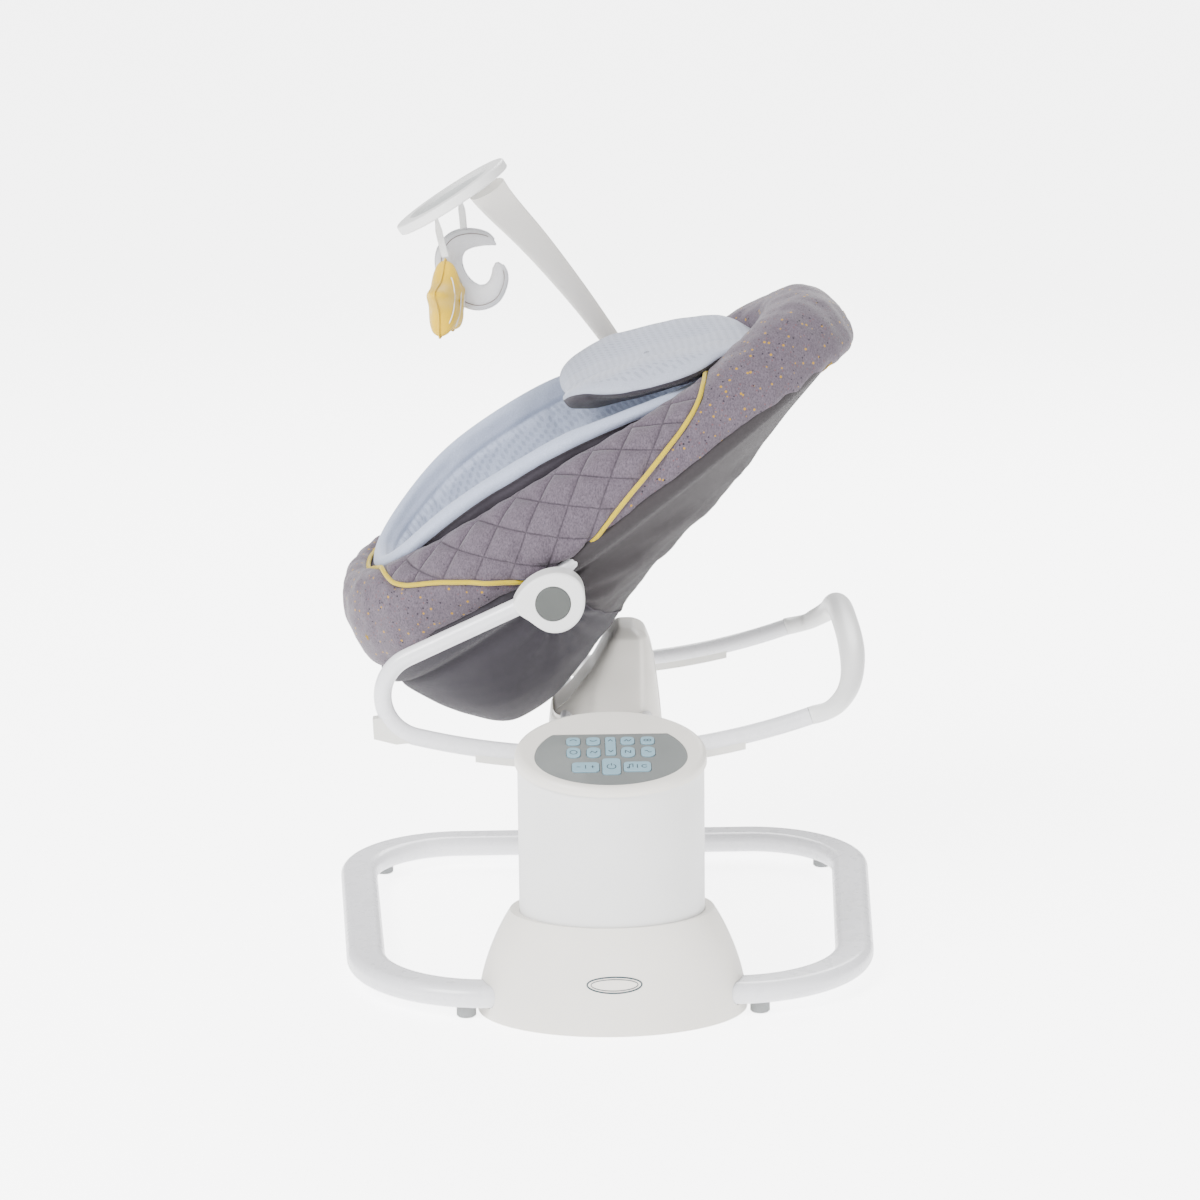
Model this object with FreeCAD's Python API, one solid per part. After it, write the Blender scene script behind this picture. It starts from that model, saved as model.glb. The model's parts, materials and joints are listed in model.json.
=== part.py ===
import FreeCAD, Part
import math
import os

# Baby swing: a floor ring and a motor tower carry a swinging arm, a lift-off rocker and a sling seat.
# Millimetres. +Z up, +Y towards the back, -Y is the control panel side, the seat's head end is +X.
# Origin: floor level, centre of the whole footprint.

# ---- driving dimensions ----
ring_y = 29.5
ring_half_depth = 296.0
ring_half_back = 321.0
ring_half_front = 282.0
ring_corner_back = 125.0
ring_corner_front = 150.0
ring_tube_width = 46.0
ring_tube_height = 26.0
ring_tube_wall = 1.8
foot_height = 13.0
foot_radius = 11.5
foot_front_x = 170.0
foot_back = (284.0, 289.0)

tower_y = -256.5
tower_a = 107.0
tower_b = 86.0
wall = 3.0
deck_z = 44.5
seam_z = 300.0
seam_tilt = 11.0
head_z = 316.0
head_tilt = 15.0
head_a = 110.0
head_b = 88.5

skirt_y = -238.5
skirt_a = 157.0
skirt_b = 110.0
skirt_top = 124.0
skirt_tilt = -3.0
rim_a = 109.6
rim_b = 88.6

post_radius = 10.0
run_gap = 0.05
swivel_pinion_x = 72.0
gear_module = 2.0
sector_teeth = 60
swivel_pinion_teeth = 12
rack_module = 1.5
glide_pinion_teeth = 12
glide_pinion_x = -39.0
glide_pinion_y = -197.0
beam_half = 26.0
beam_low = 190.0
beam_high = 240.0
rod_x = 13.0
rod_z = 215.0
rod_radius = 5.0
mast_x = 12.0
mast_y = 62.0
mast_low_radius = 30.0
mast_top_radius = 24.0
mast_height = 72.0

seat_y = 65.5
half_track = 216.0
hinge_x = -63.0
hinge_z = 465.0
seat_tilt = 32.0
tube_radius = 10.5
tube_wall = 1.5
runner_radius = 806.0
runner_low_x = -25.0
runner_low_z = 278.0
runner_end_x = 236.0
bend_radius = 51.0
leg_angle = 24.5
leg_top = (-88.0, 465.0)
hub_outer = 236.0
hub_inner = 203.5
button_radius = 20.5

seat_mid_u = 104.0
seat_half_u = 354.0
seat_half_v = 200.0
foot_power = 2.5
head_power = 2.1
rim_low = (24.6, 0.0813)
rim_high = (119.0, 0.004)
frame_tube = 8.0
frame_drop = 9.0

mobile_u = 139.0
mobile_w = 434.5
mobile_radius = 75.0
socket_u = 192.0
socket_v = 208.0

V = FreeCAD.Vector
X_AXIS = V(1, 0, 0)
Y_AXIS = V(0, 1, 0)
Z_AXIS = V(0, 0, 1)
os.makedirs("parts", exist_ok=True)


# ---- helpers ----
def save(name, shape):
    """Write one node; a list becomes a group of separate solids."""
    if isinstance(shape, list):
        shape = Part.makeCompound(shape)
    solids = shape.Solids
    print("%-22s solids %2d volume %10.0f valid %s" % (name, len(solids), shape.Volume, shape.isValid()))
    if len(solids) == 1:
        shape = solids[0]
    shape.exportStep("parts/" + name + ".step")


def block(x0, x1, y0, y1, z0, z1):
    return Part.makeBox(x1 - x0, y1 - y0, z1 - z0, V(x0, y0, z0))


def rod(radius, start, end):
    axis = end - start
    return Part.makeCylinder(radius, axis.Length, start, axis)


def polygon_face(points):
    return Part.Face(Part.makePolygon(points + [points[0]]))


def ellipse_wire(a, b, y, z):
    return Part.Wire([Part.Ellipse(V(0, y, z), a, b).toShape()])


def ellipse_column(a, b, y, z0, z1):
    return Part.Face(ellipse_wire(a, b, y, z0)).extrude(V(0, 0, z1 - z0))


def below_plane(z, tilt, depth=400.0):
    """A big block under a plane through (0, tower_y, z) that rises towards +Y by tilt degrees."""
    slab = block(-300, 300, -300, 300, -depth, 0)
    slab.Placement = FreeCAD.Placement(V(0, tower_y, z), FreeCAD.Rotation(X_AXIS, tilt))
    return slab


def closed_curve(points):
    curve = Part.BSplineCurve()
    curve.interpolate(points, True)
    return Part.Wire([curve.toShape()])


def open_curve(points, start=None, end=None):
    """Smooth curve through points; start and end fix its direction at both ends."""
    curve = Part.BSplineCurve()
    if start is None:
        curve.interpolate(points)
    else:
        curve.interpolate(Points=points, InitialTangent=start, FinalTangent=end)
    return curve


def oval_loft(path, halves, side, count=25):
    """Loft ovals along a curve; halves(t) gives the half width along side and the half thickness."""
    sections = []
    first = path.FirstParameter
    last = path.LastParameter
    for i in range(count):
        t = i / (count - 1.0)
        at = first + t * (last - first)
        centre = path.value(at)
        along = path.tangent(at)[0]
        across = (side - along * side.dot(along)).normalize()
        up = along.cross(across)
        wide, thick = halves(t)
        ring = []
        for k in range(12):
            angle = 2 * math.pi * k / 12
            ring.append(centre + across * (wide * math.cos(angle)) + up * (thick * math.sin(angle)))
        sections.append(closed_curve(ring))
    return Part.makeLoft(sections, True, False)


def mirror_seat(shape):
    """Mirror across the seat's middle plane."""
    return shape.mirror(V(0, seat_y, 0), Y_AXIS)


# ---- floor ring and feet ----
def rounded_outline(corners, radii, z):
    edges = []
    ends = []
    for i, corner in enumerate(corners):
        here = V(corner[0], corner[1], z)
        before = V(corners[i - 1][0], corners[i - 1][1], z)
        after = V(corners[(i + 1) % len(corners)][0], corners[(i + 1) % len(corners)][1], z)
        back = (before - here).normalize()
        ahead = (after - here).normalize()
        half = math.acos(back.dot(ahead)) / 2
        reach = radii[i] / math.tan(half)
        middle = (back + ahead).normalize()
        centre = here + middle * (radii[i] / math.sin(half))
        ends.append((here + back * reach, centre - middle * radii[i], here + ahead * reach))
    for i, (start, mid, end) in enumerate(ends):
        edges.append(Part.Arc(start, mid, end).toShape())
        edges.append(Part.makeLine(end, ends[(i + 1) % len(ends)][0]))
    return Part.Wire(edges)


def ring_solid(grow, rounding=11.5):
    front = ring_y - ring_half_depth
    back = ring_y + ring_half_depth
    corners = [(-ring_half_front, front), (ring_half_front, front), (ring_half_back, back), (-ring_half_back, back)]
    radii = [ring_corner_front, ring_corner_front, ring_corner_back, ring_corner_back]
    centre_line = rounded_outline(corners, radii, foot_height - grow)
    half = ring_tube_width / 2 + grow
    outer = Part.Face(centre_line.makeOffset2D(half))
    inner = Part.Face(centre_line.makeOffset2D(-half))
    body = outer.cut(inner).extrude(V(0, 0, ring_tube_height + 2 * grow))
    rims = []
    for edge in body.Edges:
        box = edge.BoundBox
        if box.ZMax - box.ZMin < 0.01:
            rims.append(edge)
    return body.makeFillet(rounding, rims)


def hole_spots():
    return [(-94.0, -266.5), (94.0, -266.5)]


def make_floor():
    ring = ring_solid(0).cut(ring_solid(-ring_tube_wall, 9.0))
    for x, y in hole_spots():
        ring = ring.cut(rod(3.0, V(x, y, 30), V(x, y, 60)))
    save("floor_ring", ring)
    feet = []
    spots = [(side * foot_front_x, ring_y - ring_half_depth) for side in (-1, 1)]
    spots += [(side * foot_back[0], foot_back[1]) for side in (-1, 1)]
    for x, y in spots:
        foot = rod(foot_radius, V(x, y, 0), V(x, y, foot_height))
        feet.append(foot.makeChamfer(1.5, [foot.Edges[2]]))
    save("ring_feet", feet)


# ---- skirt, deck and tower ----
def skirt_solid(inset, z_low, z_high):
    sections = []
    levels = 7
    for i in range(levels):
        z = z_low + (z_high - z_low) * i / (levels - 1.0)
        t = min(max(z / (skirt_top + 12.0), 0.0), 1.0)
        swell = (1 - t ** 1.7) ** 0.9
        a = rim_a + (skirt_a - rim_a) * swell - inset
        b = rim_b + (skirt_b - rim_b) * swell - inset
        y = tower_y + (skirt_y - tower_y) * swell
        sections.append(ellipse_wire(a, b, y, z))
    return Part.makeLoft(sections, True, False)


def make_skirt():
    outer = skirt_solid(0, 0, skirt_top + 12)
    inner = skirt_solid(wall, -1, skirt_top - 6)
    collar = ellipse_column(tower_a + 0.5, tower_b + 0.5, tower_y, 60, skirt_top + 30)
    shell = outer.cut(inner).cut(collar).common(below_plane(skirt_top, skirt_tilt))
    save("base_skirt", shell.cut(ring_solid(0.6)))


def make_deck():
    plate = ellipse_column(124, 88, tower_y + 6, foot_height + ring_tube_height, deck_z)
    screws = []
    for x, y in hole_spots():
        plate = plate.cut(rod(3.2, V(x, y, 30), V(x, y, 60)))
        head = rod(5.5, V(x, y, deck_z), V(x, y, deck_z + 3.5))
        screws.append(head.fuse(rod(2.9, V(x, y, 22), V(x, y, deck_z + 1))))
    save("base_plate", plate)
    for angle in (35, 145, 215, 325):
        x = 62 * math.cos(math.radians(angle))
        y = tower_y + 52 * math.sin(math.radians(angle))
        head = rod(4.5, V(x, y, deck_z), V(x, y, deck_z + 3))
        screws.append(head)
    save("base_screws", screws)


def make_tower():
    outer = ellipse_column(tower_a, tower_b, tower_y, deck_z, 360).common(below_plane(seam_z, seam_tilt))
    inner = ellipse_column(tower_a - wall, tower_b - wall, tower_y, deck_z - 1, 361)
    window = block(-62, 62, tower_y + 20, tower_y + 120, 176, 258)
    window = window.makeFillet(12, [e for e in window.Edges if abs(e.BoundBox.YLength - 100) < 0.1])
    shell = outer.cut(inner).cut(window)
    inlet_z = 140.0
    rear = tower_y + tower_b
    inlet = rod(6.0, V(0, rear - 14, inlet_z), V(0, rear, inlet_z))
    inlet = inlet.fuse(rod(9.0, V(0, rear - 1.2, inlet_z), V(0, rear + 1.5, inlet_z)))
    save("tower_shell", shell.cut(inlet))
    save("power_inlet", inlet.cut(rod(2.75, V(0, rear - 8, inlet_z), V(0, rear + 3, inlet_z))))


def head_frame():
    return FreeCAD.Placement(V(0, tower_y, head_z), FreeCAD.Rotation(X_AXIS, head_tilt))


def panel_outline(grow, depth, height):
    """D shape: a flatter back edge, round sides and a round front, in the head's own plane."""
    half = 87.0 + grow
    middle = -20.0
    front = Part.Ellipse(V(0, middle, 0), half, 62.0 + grow)
    back = Part.Ellipse(V(0, middle, 0), half, 78.0 + grow)
    whole = Part.Face(Part.Wire([front.toShape()])).extrude(V(0, 0, height))
    whole = whole.common(block(-200, 200, -200, middle, -1, height + 1))
    rear = Part.Face(Part.Wire([back.toShape()])).extrude(V(0, 0, height))
    rear = rear.common(block(-200, 200, middle, 31.0 + grow, -1, height + 1))
    body = whole.fuse(rear).removeSplitter()
    body.translate(V(0, 0, depth))
    return body


KEY_SPAN_X = (-42.5, -19.6, 19.6, 42.5)
KEYS = {}
for index, key_x in enumerate(KEY_SPAN_X):
    KEYS["motion_key_%d" % (index + 1)] = (key_x, 14.5, 16.0, 17.0, 5.5)
    KEYS["motion_key_%d" % (index + 5)] = (key_x, -10.5, 16.0, 22.0, 7.0)
KEYS["speed_rocker_key"] = (0.0, 3.0, 12.0, 40.0, 3.0)
KEYS["power_key"] = (0.0, -42.0, 21.0, 35.0, 5.0)
KEYS["volume_rocker_key"] = (-29.3, -43.0, 31.0, 21.0, 5.0)
KEYS["sound_rocker_key"] = (29.3, -43.0, 31.0, 21.0, 5.0)
KEY_GAP = 0.5


def key_solid(spec, grow, low, high):
    x, y, wide, tall, corner = spec
    body = block(x - wide / 2 - grow, x + wide / 2 + grow, y - tall / 2 - grow, y + tall / 2 + grow, low, high)
    upright = [e for e in body.Edges if e.BoundBox.ZLength > 1]
    return body.makeFillet(corner, upright)


def make_head():
    blank = ellipse_column(head_a, head_b, tower_y, 200, 420)
    top = blank.common(below_plane(head_z, head_tilt))
    rim = [e for e in top.Edges if e.BoundBox.ZMax > 330 and e.BoundBox.ZMin > 260]
    top = top.makeFillet(9.0, rim).cut(below_plane(seam_z, seam_tilt))
    hollow = ellipse_column(head_a - 4, head_b - 4, tower_y, 200, 420)
    hollow = hollow.common(below_plane(head_z - 5.5, head_tilt))
    opening = panel_outline(0.3, -20, 40)
    opening.Placement = head_frame()
    opening.Placement.Base = head_frame().multVec(V(0, 0, -20))
    save("tower_head", top.cut(hollow).cut(opening))

    panel = panel_outline(0, -5.0, 4.6)
    for spec in KEYS.values():
        panel = panel.cut(key_solid(spec, KEY_GAP, -12, 12))
    panel.Placement = head_frame().multiply(panel.Placement)
    save("control_panel", panel)
    board = Part.Face(Part.Wire([Part.Ellipse(V(0, -15, -11), 76, 42).toShape()])).extrude(V(0, 0, 1.6))
    board.Placement = head_frame()
    save("panel_board", board)
    for name, spec in KEYS.items():
        key = key_solid(spec, 0, -7.5, 0.9)
        rim = [e for e in key.Edges if e.BoundBox.ZMin > 0.8]
        key = key.makeFillet(0.7, rim)
        key.Placement = head_frame()
        save(name, key)
    cone = Part.makeCone(26, 12, 14, V(0, 0, 0), Z_AXIS)
    cone.translate(V(58, tower_y - 30, 236))
    save("speaker", cone)


# ---- gears, swivel and glide ----
def gear_face(teeth, module, turn, first=0, count=None):
    radius = teeth * module / 2
    step = 2 * math.pi / teeth
    points = []
    for k in range(first, first + (count or teeth)):
        middle = turn + k * step
        for share, at in ((-0.30, -1.25), (-0.13, 0.8), (0.13, 0.8), (0.30, -1.25)):
            angle = middle + share * step
            points.append(V((radius + at * module) * math.cos(angle), (radius + at * module) * math.sin(angle), 0))
    return points


def make_swivel():
    axis = V(0, tower_y, 0)
    post = rod(post_radius, axis + V(0, 0, deck_z), axis + V(0, 0, 240))
    post = post.fuse(rod(16, axis + V(0, 0, deck_z), axis + V(0, 0, 99.7)))
    save("swivel_post", post)

    sleeve = rod(18, axis + V(0, 0, 100), axis + V(0, 0, 235))
    front = tower_y + 13.5
    face_y = tower_y + 21.5
    plate = block(-24, 24, front, face_y, 195, 235)
    shelf_length = math.hypot(glide_pinion_x, glide_pinion_y - tower_y)
    shelf = block(0, shelf_length, -10, 10, 180, 186)
    shelf = shelf.fuse(rod(12.5, V(shelf_length, 0, 180), V(shelf_length, 0, 186)))
    heading = math.degrees(math.atan2(glide_pinion_y - tower_y, glide_pinion_x))
    shelf.Placement = FreeCAD.Placement(axis, FreeCAD.Rotation(Z_AXIS, heading))
    frame = sleeve.fuse(plate).fuse(shelf)
    frame = frame.cut(rod(post_radius + run_gap, axis, axis + V(0, 0, 300)))
    pin = V(glide_pinion_x, glide_pinion_y, 0)
    frame = frame.cut(rod(4.0, pin + V(0, 0, 170), pin + V(0, 0, 200)))
    save("swivel_frame", frame.removeSplitter())

    rods = []
    for side in (-1, 1):
        rods.append(rod(rod_radius, V(side * rod_x, face_y, rod_z), V(side * rod_x, -85, rod_z)))
    save("guide_rods", rods)

    points = gear_face(sector_teeth, gear_module, 0, -4, 9)
    sector = polygon_face([V(0, 0, 0)] + points).extrude(V(0, 0, 8))
    sector = sector.fuse(Part.makeCylinder(26, 8)).cut(Part.makeCylinder(18, 20, V(0, 0, -5)))
    sector.translate(V(0, tower_y, 150))
    save("sector_gear", sector)

    half_tooth = math.pi / swivel_pinion_teeth
    pinion = polygon_face(gear_face(swivel_pinion_teeth, gear_module, half_tooth)).extrude(V(0, 0, 11))
    pinion = pinion.fuse(Part.makeCylinder(3, 30, V(0, 0, -29)))
    pinion.translate(V(swivel_pinion_x, tower_y, 148.5))
    save("swivel_pinion", pinion)
    spot = V(swivel_pinion_x, tower_y, 0)
    motor = rod(17, spot + V(0, 0, deck_z), spot + V(0, 0, 146))
    save("swivel_motor", motor.cut(rod(3 + run_gap, spot + V(0, 0, 115), spot + V(0, 0, 160))))

    pinion = polygon_face(gear_face(glide_pinion_teeth, rack_module, 0)).extrude(V(0, 0, 12))
    pinion = pinion.fuse(Part.makeCylinder(3, 50, V(0, 0, -49)))
    pinion.translate(pin + V(0, 0, 204))
    save("glide_pinion", pinion)
    motor = rod(11, pin + V(0, 0, 120), pin + V(0, 0, 180))
    save("glide_motor", motor.cut(rod(3 + run_gap, pin + V(0, 0, 150), pin + V(0, 0, 190))))


def make_arm():
    start = -233.0
    end = 92.0
    beam = block(-beam_half, beam_half, start, end, beam_low, beam_high)
    hollow = block(-beam_half + wall, beam_half - wall, start - 1, end + 1, beam_low + wall, beam_high - wall)
    beam = beam.cut(hollow)
    for y in (start, -128.0):
        beam = beam.fuse(block(-beam_half + 1, beam_half - 1, y, y + 9, beam_low + 1, beam_high - 1))
    for side in (-1, 1):
        beam = beam.cut(rod(rod_radius + run_gap, V(side * rod_x, start - 5, rod_z), V(side * rod_x, -110, rod_z)))
    pitch = math.pi * rack_module
    line_x = glide_pinion_x + glide_pinion_teeth * rack_module / 2
    teeth = []
    for k in range(-7, 2):
        y = glide_pinion_y + (k + 0.5) * pitch
        low = line_x + 1.25 * rack_module
        tip = line_x - 0.8 * rack_module
        tooth = polygon_face([V(low, y - 0.30 * pitch, 205), V(tip, y - 0.13 * pitch, 205),
                              V(tip, y + 0.13 * pitch, 205), V(low, y + 0.30 * pitch, 205)])
        teeth.append(tooth.extrude(V(0, 0, 10)))
    bar_low = glide_pinion_y - 7.2 * pitch
    bar_high = glide_pinion_y + 2.2 * pitch
    rack = block(line_x + 1.2 * rack_module, -beam_half + 0.5, bar_low, bar_high, 205, 215)
    save("arm_beam", beam.fuse(rack).multiFuse(teeth).removeSplitter())

    shell = block(-36, 36, -150, 104, 182, 250)
    shell = shell.makeFillet(12, [e for e in shell.Edges if e.BoundBox.YLength > 200])
    inside = block(-33.5, 33.5, -151, 101.5, 184.5, 247.5)
    inside = inside.makeFillet(9.5, [e for e in inside.Edges if e.BoundBox.YLength > 200])
    mast = V(mast_x, mast_y, 0)
    shell = shell.cut(inside).cut(rod(12.2, mast + V(0, 0, 240), mast + V(0, 0, 260)))
    save("arm_shell", shell)

    post = Part.makeCone(mast_low_radius, mast_top_radius, mast_height, mast + V(0, 0, 256), Z_AXIS)
    post = post.makeFillet(5, [e for e in post.Edges if e.BoundBox.ZMin > 255 + mast_height])
    post = post.fuse(rod(46, mast + V(0, 0, 250), mast + V(0, 0, 256)))
    post = post.fuse(rod(12, mast + V(0, 0, beam_high), mast + V(0, 0, 251)))
    save("dock_mast", post)


# ---- rocker ----
def runner_tube():
    """Leg, C bend and long rocking arc of the near side, in the plane y = seat_y - half_track."""
    y = seat_y - half_track
    lean = math.radians(leg_angle)
    normal_x = math.sin(lean)
    normal_z = -math.cos(lean)
    big_x = runner_low_x
    big_z = runner_low_z + runner_radius
    along = V(-math.cos(lean), 0, -math.sin(lean))
    start = V(leg_top[0] + bend_radius * normal_x, y, leg_top[1] + bend_radius * normal_z)
    offset = start - V(big_x, y, big_z)
    reach = runner_radius - bend_radius
    half_b = offset.dot(along)
    step = -half_b - math.sqrt(half_b * half_b - offset.dot(offset) + reach * reach)
    other = -half_b + math.sqrt(half_b * half_b - offset.dot(offset) + reach * reach)
    step = max(step, other)
    centre = start + along * step
    leg_end = centre - V(normal_x, 0, normal_z) * bend_radius
    outward = (centre - V(big_x, y, big_z)).normalize()
    bend_end = centre + outward * bend_radius
    mid_dir = ((leg_end - centre).normalize() + outward).normalize()
    if mid_dir.x > 0:
        mid_dir = mid_dir * -1
    tip_angle = math.asin((runner_end_x - big_x) / runner_radius)
    tip = V(runner_end_x, y, big_z - runner_radius * math.cos(tip_angle))
    low = V(big_x, y, big_z - runner_radius)
    leg_start = V(leg_top[0], y, leg_top[1])
    path = Part.Wire([
        Part.makeLine(leg_start, leg_end),
        Part.Arc(leg_end, centre + mid_dir * bend_radius, bend_end).toShape(),
        Part.Arc(bend_end, low, tip).toShape()])
    tubes = []
    for radius in (tube_radius, tube_radius - tube_wall):
        section = Part.Wire([Part.Circle(leg_start, along, radius).toShape()])
        tubes.append(path.makePipeShell([section], True, False))
    return tubes[0], tubes[1], tip, tip_angle


def make_handle(tip, tip_angle):
    straight = V(math.cos(tip_angle), 0, math.sin(tip_angle))
    side = []
    for x, v, z in ((252, -215.5, 325.4), (270, -206, 334), (284, -184, 348), (291, -148, 365), (293, -95, 378)):
        side.append(V(x, seat_y + v, z))
    start = tip + straight * run_gap
    near = [start, start + straight * 7] + side
    far = [V(p.x, 2 * seat_y - p.y, p.z) for p in reversed(near)]
    path = open_curve(near + [V(293, seat_y, 384)] + far, straight, straight * -1)

    def halves(t):
        grow = min(1.0, min(t, 1 - t) / 0.30)
        radius = tube_radius + 5.0 * (3 * grow ** 2 - 2 * grow ** 3)
        return radius, radius

    save("rear_handle", oval_loft(path, halves, Z_AXIS, 33))


# edge of the hub shell round its hinge, with a tab towards the leg
HUB_EDGE = ((-45, 3), (-34, 19), (-13, 33), (11, 36), (31, 25), (37, 5), (32, -17), (12, -34), (-10, -33),
            (-29, -20), (-42, -10))


def make_hubs(tube):
    outer_y = seat_y - hub_outer
    inner_y = seat_y - hub_inner
    edge = [V(hinge_x + x, outer_y, hinge_z + z) for x, z in HUB_EDGE]
    hub = Part.Face(closed_curve(edge)).extrude(V(0, inner_y - outer_y, 0))
    rims = [e for e in hub.Edges if e.BoundBox.YLength < 0.01 and e.BoundBox.YMax < outer_y + 0.1]
    hub = hub.makeFillet(4.0, rims)
    lean = math.radians(leg_angle)
    along = V(-math.cos(lean), 0, -math.sin(lean))
    mouth = V(leg_top[0], seat_y - half_track, leg_top[1])
    hub = hub.fuse(rod(13.2, mouth - along * 6, mouth + along * 13))
    axis = V(hinge_x, 0, hinge_z)
    hub = hub.cut(rod(button_radius + 0.4, axis + V(0, outer_y - 5, 0), axis + V(0, outer_y + 12, 0)))
    hub = hub.cut(rod(10 + run_gap, axis + V(0, outer_y + 20, 0), axis + V(0, inner_y + 5, 0)))
    hub = hub.cut(tube)
    save("hub_left", hub)
    save("hub_right", mirror_seat(hub))
    button = rod(button_radius, axis + V(0, outer_y - 0.8, 0), axis + V(0, outer_y + 8, 0))
    rim = [e for e in button.Edges if e.BoundBox.YMax < outer_y]
    button = button.makeFillet(1.5, rim)
    save("hub_button_left", button)
    save("hub_button_right", mirror_seat(button))


def make_hood(tubes):
    front = [(-70, 256.3), (-67, 285), (-46, 292), (-16, 334), (8, 378), (14, 385), (40, 385),
             (52, 376), (58, 358), (66, 310), (71, 256.3)]
    side = [(-18, 256.3), (-10, 320), (2, 368), (18, 385), (100, 385), (114, 366), (126, 320), (134, 256.3)]
    across = polygon_face([V(x, -60, z) for x, z in front]).extrude(V(0, 240, 0))
    along = polygon_face([V(-90, y, z) for y, z in side]).extrude(V(180, 0, 0))
    hood = across.common(along)
    mast = V(mast_x, mast_y, 0)
    socket = Part.makeCone(mast_low_radius + 0.6, mast_top_radius + 0.4, mast_height + 2, mast + V(0, 0, 256), Z_AXIS)
    hood = hood.cut(socket)
    hood = hood.cut(block(-15.4, 15.4, 106, 140, 289.6, 314.4))
    cross = []
    for x in (-48.0, 48.0):
        low = seat_y - half_track
        high = seat_y + half_track
        bar = rod(8.0, V(x, low, 283), V(x, high, 283))
        hood = hood.cut(bar)
        for tube in tubes:
            bar = bar.cut(tube)
        bar = max(bar.Solids, key=lambda piece: piece.Volume)
        cross.append(bar)
    save("dock_hood", hood)
    save("dock_cross_tubes", cross)
    release = block(-15, 15, 112, 129, 290, 314)
    rim = [e for e in release.Edges if e.BoundBox.YMin > 128]
    save("dock_release", release.makeFillet(2, rim))


def make_pads(tube):
    y = seat_y - half_track
    big = V(runner_low_x, y, runner_low_z + runner_radius)
    outer = Part.makeCylinder(runner_radius + tube_radius + 4.5, 17, big - V(0, 8.5, 0), Y_AXIS)
    inner = Part.makeCylinder(runner_radius + 4, 19, big - V(0, 9.5, 0), Y_AXIS)
    strip = outer.cut(inner).common(block(-156, 160, y - 20, y + 20, 200, 400)).cut(tube)
    strip = max(strip.Solids, key=lambda piece: piece.Volume)
    edge = [(-275, 327), (-274, 303), (-248, 296), (-215, 299), (-228, 332)]
    wedge = polygon_face([V(x, y - 8, z) for x, z in edge]).extrude(V(0, 16, 0)).cut(tube)
    wedge = min(wedge.Solids, key=lambda piece: piece.CenterOfMass.x + piece.CenterOfMass.z)
    save("runner_pads", [strip, wedge, mirror_seat(strip), mirror_seat(wedge)])


def make_rocker():
    tube, bore, tip, tip_angle = runner_tube()
    far = mirror_seat(tube)
    save("runner_tube_left", tube.cut(bore))
    save("runner_tube_right", mirror_seat(tube.cut(bore)))
    make_handle(tip, tip_angle)
    make_hubs(tube)
    make_hood([tube, far])
    make_pads(tube)


# ---- seat, in its own tilted frame: u to the head, v to the back, w up out of the seat ----
def seat_frame():
    return FreeCAD.Placement(V(hinge_x, seat_y, hinge_z), FreeCAD.Rotation(Y_AXIS, -seat_tilt))


def seat_outline(u0, u1, half, height, count=32):
    """Egg-shaped closed outline from u0 to u1; height(u) gives w and is linear, so the outline is flat."""
    middle = u0 + (u1 - u0) * (seat_half_u - 8) / (2 * seat_half_u)
    points = []
    for k in range(count):
        angle = 2 * math.pi * (k + 0.5) / count
        c = math.cos(angle)
        s = math.sin(angle)
        power = 2 / (head_power if c > 0 else foot_power)
        reach = (u1 - middle) if c > 0 else (middle - u0)
        u = middle + math.copysign(abs(c) ** power, c) * reach
        v = math.copysign(abs(s) ** power, s) * half
        points.append(V(u, v, height(u)))
    return closed_curve(points)


def rim_height(share):
    def height(u):
        low = rim_low[0] + rim_low[1] * u
        high = rim_high[0] + rim_high[1] * u
        return low + share * (high - low)
    return height


def rim_outline(inset, share):
    low = seat_mid_u - seat_half_u + inset
    high = seat_mid_u + seat_half_u - inset
    return seat_outline(low, high, seat_half_v - inset, rim_height(share))


def level(w, slope=0.0):
    def height(u):
        return w + slope * u
    return height


def put(name, shape):
    shape.Placement = seat_frame().multiply(shape.Placement)
    save(name, shape)


def make_cover():
    profile = ((14, 0.0), (4, 0.08), (0, 0.28), (4, 0.55), (13, 0.82), (30, 1.0))
    outer = Part.makeLoft([rim_outline(inset, share) for inset, share in profile], True, False)
    inner = Part.makeLoft([rim_outline(44, -0.3), rim_outline(44, 1.3)], True, False)
    put("seat_cover", outer.cut(inner))


BAG = ((-236, 428, 176, 6.6, 0.0813), (-231, 250, 171, -30, 0.0), (-214, 112, 160, -62, 0.0),
       (-188, 30, 143, -96, 0.0), (-160, -40, 108, -126, 0.0), (-128, -84, 48, -143, 0.0))


def make_bag():
    outer = []
    inner = []
    for index, (u0, u1, half, w, slope) in enumerate(BAG):
        outer.append(seat_outline(u0, u1, half, level(w, slope)))
        lift = 0.8 if index == 0 else 7.0
        inner.append(seat_outline(u0 + 6, u1 - 8, half - 6, level(w + lift, slope)))
    outer = Part.makeLoft(outer, True, False)
    inner = Part.makeLoft(inner, True, False)
    put("seat_bag", outer.cut(inner))


def insert_stack(inset, lift, top):
    rows = ((-110, 100, 88, -6), (-160, 190, 122, 34), (-184, 270, 138, 82), (-192, 312, 145, 128),
            (-196, 336, 149, top))
    wires = []
    for index, (u0, u1, half, w) in enumerate(rows):
        rise = lift if index < 4 else 0
        wires.append(seat_outline(u0 + inset, u1 - inset, half - inset, level(w + rise)))
    return Part.makeLoft(wires, True, False)


# edge line of the insert's wings: level between the two u values, falling away at both ends
wing_w = 158.0
wing_foot_u = -55.0
wing_head_u = 110.0
wing_foot_fall = 0.32
wing_head_fall = 0.32
wing_side_rise = 0.06


def wing_plane(u, v):
    drop = wing_foot_fall * max(0.0, wing_foot_u - u) + wing_head_fall * max(0.0, u - wing_head_u)
    return wing_w - drop + wing_side_rise * v


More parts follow.
